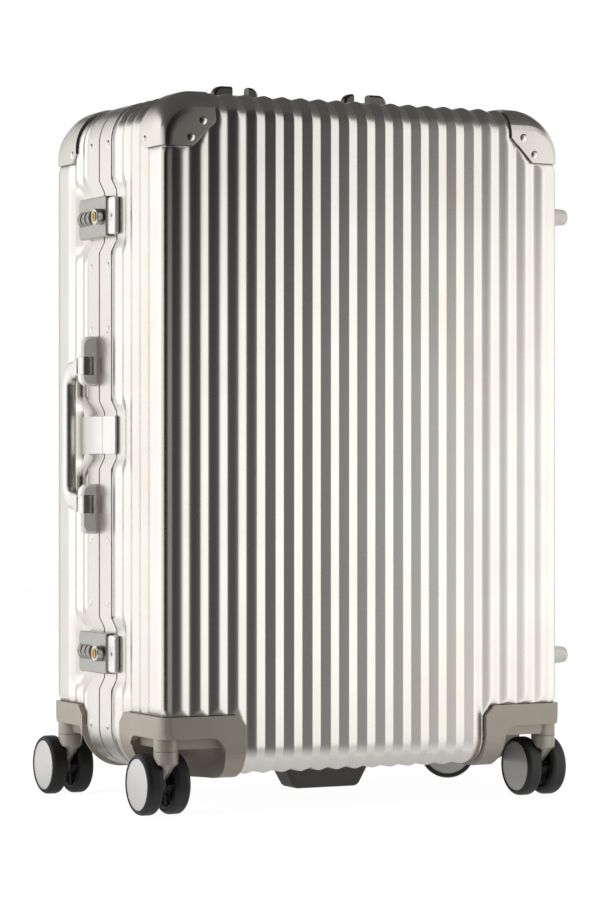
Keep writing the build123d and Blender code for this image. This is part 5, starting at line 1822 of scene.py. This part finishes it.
@dataclass
class PackingStraps:
    """Two webbing straps across the rear lining, each closed by a buckle."""

    half_long: float = 199.0
    half_wide: float = 15.0
    thick: float = 1.7
    edge_flat: float = 0.05
    ripple: float = 0.25
    ripple_run: float = 23.0
    levels: tuple[float, float] = (269.2, 529.2)
    floor: float = 109.3
    steps: int = 120
    buckle_edge: float = 0.4

    def strap(self, z: float) -> Surface:
        """Rounded flat section carried along X, with a slow ripple of its height, a sine of the run.

        Args:
            z: Height of the strap.

        Returns:
            The strap, mapped along and across.
        """
        x = np.linspace(-self.half_long, self.half_long, self.steps)
        y = self.floor - self.thick / 2 - self.ripple - self.ripple * np.sin(x / self.ripple_run + z)
        path = np.stack([x, y, np.full(x.size, z)], axis=-1)
        across = np.broadcast_to(np.array([0.0, 0.0, 1.0]), path.shape)
        up = np.broadcast_to(np.array([0.0, -1.0, 0.0]), path.shape)
        section = rounded_loop(self.half_wide, self.thick / 2, self.thick / 2 - self.edge_flat, 4)
        return swept(path, across, up, section, False)

    def build(self, shop: Workshop) -> None:
        """Make both straps and their buckles.

        Args:
            shop: Workshop that makes them.
        """
        low, high = (self.strap(level) for level in self.levels)
        name = "packing_straps_webbing"
        mesh = shop.mesh(name, low.joined(high))
        shop.piece(name, mesh, "rear_half", STRAP_WEB, "strap_webbing", ["packing_straps"])
        shop.finished("strap_buckles", BLACK_ABS, self.buckle_edge)


# Carry handles


@dataclass
class BowHandle:
    """Bow handle: two eyes on the pivot line, and a rounded bar that bends from arm to grip to arm."""

    name: str
    span: float
    straight: float
    origin: tuple[float, float, float]
    along: tuple[float, float, float]
    rise: tuple[float, float, float]
    reach: tuple[float, float, float] = (0.0, 1.0, 0.0)
    pivot_rise: float = 9.5
    half_thick: float = 6.5
    eye_half: float = 9.6
    hole: float = 2.55
    grip_reach: float = 49.0
    grip_half: float = 10.0
    bend: float = 18.0
    draw_in: float = 3.5
    overlap: float = 2.0
    eye_overlap: float = 1.0
    rounds: tuple[float, float] = (1.0, 6.0)
    crease: float = 35.0
    eye_steps: int = 72
    arm_steps: int = 12
    bend_steps: int = 16

    def placed(self, u: Array, v: Array, h: Array) -> Array:
        """Points from their places along the pivot line, out to the grip, and up from the case."""
        out = u[..., None] * np.array(self.along) + v[..., None] * np.array(self.reach)
        return np.array(self.origin) + out + h[..., None] * np.array(self.rise)

    def bow(self) -> Surface:
        """Rounded section carried along the bow; its rounding grows from arms to grip by a smooth step.

        Returns:
            The bow between the eyes.
        """
        share = np.linspace(0, 1, self.arm_steps)
        ease = share * share * (3 - 2 * share)
        turn = np.linspace(0, np.pi / 2, self.bend_steps)[1:]
        foot, level = self.straight - self.overlap, self.grip_reach - self.bend
        start = self.span / 2 - self.draw_in
        arm_u, arm_v = self.span / 2 - self.draw_in * ease, foot + (level - foot) * share
        arc_u, arc_v = start - self.bend + self.bend * np.cos(turn), level + self.bend * np.sin(turn)
        half_u, half_v = np.concatenate([arm_u, arc_u]), np.concatenate([arm_v, arc_v])
        middle = np.linspace(start - self.bend, self.bend - start, self.arm_steps)[1:-1]
        u = np.concatenate([half_u, middle, -half_u[::-1]])
        v = np.concatenate([half_v, np.full(middle.size, self.grip_reach), half_v[::-1]])
        path = self.placed(u, v, np.full(u.size, self.pivot_rise))
        way = np.gradient(path, axis=0)
        way /= np.linalg.norm(way, axis=1, keepdims=True)
        up = np.broadcast_to(np.array(self.rise), path.shape)
        soft = np.concatenate([ease, np.ones(u.size - 2 * ease.size), ease[::-1]])
        wide = self.eye_half + (self.grip_half - self.eye_half) * soft
        radius = self.rounds[0] + (self.rounds[1] - self.rounds[0]) * soft
        loops = np.stack([rounded_loop(w, self.half_thick, r, 7) for w, r in zip(wide, radius)])
        return swept(path, np.cross(up, way), up, loops, False)

    def eye(self, side: float) -> Surface:
        """Ring round the pin that goes over into the arm: rays out to a half circle with straight sides.

        Args:
            side: Minus one or one, for the eye's end of the pivot line.

        Returns:
            The eye with its hole.
        """
        angle = np.linspace(-np.pi, np.pi, self.eye_steps, endpoint=False)
        cos, sin = np.cos(angle), np.sin(angle)
        to_end = (self.straight + self.eye_overlap) / np.clip(cos, 1e-6, None)
        to_side = self.half_thick / np.clip(np.abs(sin), 1e-6, None)
        outer = np.where(cos > 0, np.minimum(to_end, to_side), self.half_thick)
        inner = np.full(self.eye_steps, self.hole)
        radius = np.stack([outer, outer, inner, inner], axis=-1)
        faces = self.eye_half * np.broadcast_to(np.array([1.0, -1.0, -1.0, 1.0]), radius.shape)
        v, h = radius * cos[:, None], self.pivot_rise + radius * sin[:, None]
        points = self.placed(side * self.span / 2 + faces, v, h)
        return Surface(points.reshape(-1, 3), grid_faces(self.eye_steps, 4, True, True))

    def build(self, shop: Workshop) -> None:
        """Make the handle in one piece on its body.

        Args:
            shop: Workshop that makes it.
        """
        name = f"{self.name}_bow"
        mesh = shop.mesh(name, self.bow().joined(self.eye(1.0)).joined(self.eye(-1.0)))
        mesh.set_sharp_from_angle(angle=math.radians(self.crease))
        shop.piece(name, mesh, body_of(self.name), POLISHED_CAST, "polished_handle", [self.name])


SIDE_HANDLE = BowHandle(
    name="side_handle",
    span=150.0,
    straight=10.31,
    origin=(0.5 - BODY.half_wide, BODY.split + 14.0, BODY.mid_z),
    along=(0.0, 0.0, 1.0),
    rise=(-1.0, 0.0, 0.0),
)
TOP_HANDLE = BowHandle(
    name="top_handle",
    span=152.0,
    straight=16.81,
    origin=(0.0, BODY.split - 8.0, BODY.mid_z + BODY.half_tall - 0.5),
    along=(1.0, 0.0, 0.0),
    rise=(0.0, 0.0, 1.0),
)


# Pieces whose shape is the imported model's


@dataclass
class Fittings:
    """Nodes that keep their shape: each gets its finish, smooth curves and edges broken by a width."""

    plan: tuple[tuple[Finish, float, tuple[str, ...]], ...] = (
        (EXTRUDED_BAND, 0.4, ("front_frame", "rear_frame")),
        (SEAL_RUBBER, 0.0, ("frame_seal",)),
        (RIVET_WIRE, 0.0, ("front_rivets", "rear_rivets")),
        (SILVER_CAST, 0.7, ("side_handle_brackets",)),
        (REFLECTION_DARKENED_CAST, 0.5, ("top_handle_brackets",)),
        (DRAWN_STEEL, 0.3, ("side_handle_pins", "top_handle_pins")),
        (DRAWN_STEEL, 0.3, ("front_hinge_leaves", "rear_hinge_leaves", "hinge_pins")),
        (FOOT_NYLON, 0.0, ("front_side_feet", "rear_side_feet")),
        (SHADE_DARKENED_NYLON, 0.6, ("bottom_grip",)),
        (BLACK_ABS, 0.5, ("trolley_bezel",)),
        (BLACK_ABS, 0.4, ("trolley_grip",)),
        (BUTTON_ABS, 0.4, ("trolley_button",)),
        (DRAWN_TUBE, 0.0, ("trolley_outer_tubes", "trolley_middle_tubes", "trolley_inner_tubes")),
    )
    guard_edge: float = 0.7
    handles: tuple[BowHandle, ...] = (SIDE_HANDLE, TOP_HANDLE)

    def build(self, shop: Workshop) -> None:
        """Finish every node of the plan, the guards and the handles.

        Args:
            shop: Workshop that makes them.
        """
        for finish, edge, nodes in self.plan:
            for node in nodes:
                shop.finished(node, finish, edge)
        for half in Half:
            shop.finished(f"{half.word}_corner_guards", DRAWN_GUARD, self.guard_edge, segments=3)
        for handle in self.handles:
            handle.build(shop)


# Studio


@dataclass(frozen=True)
class Card:
    """Graded card round the case: a corner and two edges in metres from the body's middle, and its light.

    The grade is the light along the first edge, as (share of the edge, light) pairs. The fade is a factor
    along the second edge, and a card that goes to white fades to a light of one instead of nought.
    """

    name: str
    corner: tuple[float, float, float]
    right: tuple[float, float, float]
    up: tuple[float, float, float]
    grade: tuple[tuple[float, float], ...]
    fade: tuple[tuple[float, float], ...] = ((0.0, 1.0), (1.0, 1.0))
    columns: int = 81
    rows: int = 21
    to_white: bool = False


# In front: dark where the left of the case looks, paler to the right, and darker above
FRONT_CARD = Card(
    name="front_card",
    corner=(-3.0, -0.6, 0.0),
    right=(3.4, 0.0, 0.0),
    up=(0.0, 0.0, 1.5),
    grade=(
        (0.0, 0.9), (0.12, 0.3), (0.24, 0.05), (0.66, 0.036), (0.75, 0.036), (0.802, 0.055), (0.84, 0.11),
        (0.873, 0.24), (0.911, 0.5), (0.944, 0.95), (0.976, 1.3), (1.0, 1.45),
    ),
    fade=((0.0, 1.05), (0.3, 1.0), (0.4, 0.78), (0.5, 0.42), (1.0, 0.25)),
    columns=171,
)
# In front on the right: a little over white, for the bright flanks
RIGHT_CARD = Card(
    name="right_card",
    corner=(0.4, -0.6, 0.0),
    right=(1.2, 0.0, 0.0),
    up=(0.0, 0.0, 1.5),
    grade=((0.0, 1.45), (0.3, 1.5), (1.0, 1.4)),
    fade=((0.0, 0.95), (0.25, 1.0), (0.4, 0.95), (0.55, 0.84), (1.0, 0.7)),
)
# Above: dim, so that the top edges go grey
TOP_CARD = Card(
    name="top_card",
    corner=(-1.4, -0.6, 1.3),
    right=(2.6, 0.0, 0.0),
    up=(0.0, 2.3, 0.0),
    grade=((0.0, 0.1), (0.6, 0.1), (1.0, 0.14)),
)
# Behind on the left: a little over white, for the bright left side
LEFT_CARD = Card(
    name="left_card",
    corner=(-1.05, 0.5, 0.0),
    right=(0.89, 0.46, 0.0),
    up=(0.0, 0.0, 1.2),
    grade=((0.0, 1.5), (0.47, 1.55), (0.56, 1.0), (0.8, 0.75), (1.0, 0.55)),
)
# Under the case: the shade of its own underside
UNDER_CARD = Card(
    name="under_card",
    corner=(-0.4, -0.16, 0.002),
    right=(0.8, 0.0, 0.0),
    up=(0.0, 0.46, 0.0),
    grade=((0.0, 1.0), (0.2, 0.75), (0.8, 0.75), (1.0, 1.0)),
    fade=((0.0, 1.0), (0.2, 0.8), (0.4, 0.65), (0.9, 0.65), (1.0, 1.0)),
)
# On the floor in front: the front card goes on towards the case and turns white, to keep the bottom's ribs
FLOOR_CARD = Card(
    name="floor_card",
    corner=(-3.0, -0.6, 0.003),
    right=(3.4, 0.0, 0.0),
    up=(0.0, 0.44, 0.0),
    grade=FRONT_CARD.grade,
    fade=((0.0, 1.0), (0.6, 0.9), (0.85, 0.6), (1.0, 0.2)),
    columns=171,
    to_white=True,
)


@dataclass(frozen=True)
class Lamp:
    """Square soft lamp: its place in metres, its width and its power in watts."""

    name: str
    place: tuple[float, float, float]
    size: float
    power: float


@dataclass
class Studio:
    """Pale floor, soft lamps, a white surround, graded cards for the metal to mirror, and the camera."""

    camera_at: tuple[float, float, float] = (-1620.1, -3136.7, 362.8)
    camera_turn: float = -27.32
    lens: float = 127.1
    sensor: float = 36.0
    shift: tuple[float, float] = (-0.0069, 0.0207)
    floor_size: float = 12.0
    floor_colour: str = "#F4F3F1"
    floor_white: float = 1.06
    floor_glow: float = 0.9
    surround: float = 0.38
    lamps_look_at: tuple[float, float, float] = (0.0, 0.0, 0.4)
    lamps: tuple[Lamp, ...] = (
        Lamp("left_lamp", (-2.4, 0.3, 1.3), 1.6, 62.0),
        Lamp("right_lamp", (2.2, -1.6, 1.4), 1.4, 14.0),
    )
    cards: tuple[Card, ...] = (FRONT_CARD, RIGHT_CARD, TOP_CARD, LEFT_CARD, UNDER_CARD, FLOOR_CARD)

    def put(self, name: str, data: Any) -> Piece:
        """Put an object into the scene.

        Args:
            name: Name of the object.
            data: Its mesh, lamp or camera.

        Returns:
            The object.
        """
        made = bpy.data.objects.new(name, data)
        bpy.context.scene.collection.objects.link(made)
        return made

    def camera(self, shop: Workshop) -> None:
        """Level camera at the photograph's angle.

        Args:
            shop: Workshop that knows where the body's middle is.
        """
        data = bpy.data.cameras.new("camera")
        data.lens = self.lens
        data.sensor_width = self.sensor
        data.shift_x, data.shift_y = self.shift
        made = self.put("camera", data)
        made.location = (np.array(self.camera_at) + shop.middle) * MM
        made.rotation_euler = (math.pi / 2, 0.0, math.radians(self.camera_turn))
        bpy.context.scene.camera = made

    def seen_directly(self, tree: Tree) -> Socket:
        """Tell looks from light: what is seen, mirrored or seen through, and what surfaces scatter.

        Args:
            tree: Node tree that gets the nodes.

        Returns:
            One for rays from the camera, from gloss and through glass, and zero for scattered light.
        """
        path = add_node(tree, "ShaderNodeLightPath")
        first = {0: path.outputs["Is Camera Ray"], 1: path.outputs["Is Glossy Ray"]}
        either = add_node(tree, "ShaderNodeMath", first, operation="MAXIMUM")
        second = {0: either.outputs[0], 1: path.outputs["Is Transmission Ray"]}
        return add_node(tree, "ShaderNodeMath", second, operation="MAXIMUM").outputs[0]

    def floor(self) -> None:
        """Pale floor that keeps a soft shadow and goes over into the white surround."""
        half = self.floor_size / 2
        mesh = bpy.data.meshes.new("floor")
        corners = [(-half, -half, 0), (half, -half, 0), (half, half, 0), (-half, half, 0)]
        mesh.from_pydata(corners, [], [(0, 1, 2, 3)])
        paint = bpy.data.materials.new("pale studio floor")
        tree = fresh_tree(paint)
        matt = add_node(tree, "ShaderNodeBsdfDiffuse", {"Color": linear(self.floor_colour)})
        white = add_node(tree, "ShaderNodeEmission", {"Color": WHITE, "Strength": self.floor_white})
        glow = {0: self.seen_directly(tree), 1: self.floor_glow}
        share = add_node(tree, "ShaderNodeMath", glow, operation="MULTIPLY")
        mixed = {0: share.outputs[0], 1: matt.outputs[0], 2: white.outputs[0]}
        mix = add_node(tree, "ShaderNodeMixShader", mixed)
        add_node(tree, "ShaderNodeOutputMaterial", {"Surface": mix.outputs[0]})
        mesh.materials.append(paint)
        self.put("floor", mesh)

    def card(self, shop: Workshop, card: Card) -> None:
        """Hang a graded card that only the metal's mirror sees: its light is kept in a point attribute.

        Args:
            shop: Workshop that knows where the body's middle is.
            card: The card.
        """
        across, along = np.meshgrid(np.linspace(0, 1, card.columns), np.linspace(0, 1, card.rows))
        sheet = across[..., None] * np.array(card.right) + along[..., None] * np.array(card.up)
        points = (np.array(card.corner) + sheet).reshape(-1, 3) + shop.middle * MM
        mesh = bpy.data.meshes.new(card.name)
        mesh.from_pydata(points.tolist(), [], grid_faces(card.rows, card.columns).tolist())
        level = np.interp(across.ravel(), *np.array(card.grade).T)
        fade = np.interp(along.ravel(), *np.array(card.fade).T)
        level = 1 + (level - 1) * fade if card.to_white else level * fade
        mesh.attributes.new("light", "FLOAT", "POINT").data.foreach_set("value", level)
        paint = bpy.data.materials.new(card.name)
        tree = fresh_tree(paint)
        light = add_node(tree, "ShaderNodeAttribute", attribute_name="light")
        glow = add_node(tree, "ShaderNodeEmission", {"Strength": light.outputs["Fac"]})
        add_node(tree, "ShaderNodeOutputMaterial", {"Surface": glow.outputs[0]})
        mesh.materials.append(paint)
        made = self.put(card.name, mesh)
        made.visible_camera = False
        made.visible_diffuse = False
        made.visible_shadow = False
        made.visible_transmission = False

    def lamp(self, lamp: Lamp) -> None:
        """Hang a lamp that looks at the middle of the case and that no gloss mirrors.

        Args:
            lamp: The lamp.
        """
        data = bpy.data.lights.new(lamp.name, "AREA")
        data.shape = "SQUARE"
        data.size = lamp.size
        data.energy = lamp.power
        made = self.put(lamp.name, data)
        made.location = lamp.place
        way = Vector(self.lamps_look_at) - Vector(lamp.place)
        made.rotation_euler = way.to_track_quat("-Z", "Y").to_euler()
        made.visible_glossy = False

    def world(self) -> None:
        """White surround to look at and to mirror, and a weaker one to light by."""
        made = bpy.data.worlds.new("studio")
        tree = fresh_tree(made)
        limits = {"Value": self.seen_directly(tree), "To Min": self.surround, "To Max": 1.0}
        level = add_node(tree, "ShaderNodeMapRange", limits)
        glow = add_node(tree, "ShaderNodeBackground", {"Color": WHITE, "Strength": level.outputs["Result"]})
        add_node(tree, "ShaderNodeOutputWorld", {"Surface": glow.outputs[0]})
        bpy.context.scene.world = made

    def build(self, shop: Workshop) -> None:
        """Set up the whole studio.

        Args:
            shop: Workshop that knows where the body's middle is.
        """
        bpy.context.scene.view_settings.view_transform = "Standard"
        self.world()
        self.floor()
        for card in self.cards:
            self.card(shop, card)
        for lamp in self.lamps:
            self.lamp(lamp)
        self.camera(shop)


def main() -> None:
    """Build the classes in order."""
    logging.basicConfig(level=logging.INFO, format="%(message)s")
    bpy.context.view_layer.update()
    shop = Workshop()
    for half in Half:
        ShellPressing(half).build(shop)
        Lining(half).build(shop)
    Casters().build(shop)
    Locks().build(shop)
    Pocket().build(shop)
    PackingStraps().build(shop)
    Fittings().build(shop)
    Studio().build(shop)


if __name__ == "__main__":
    main()
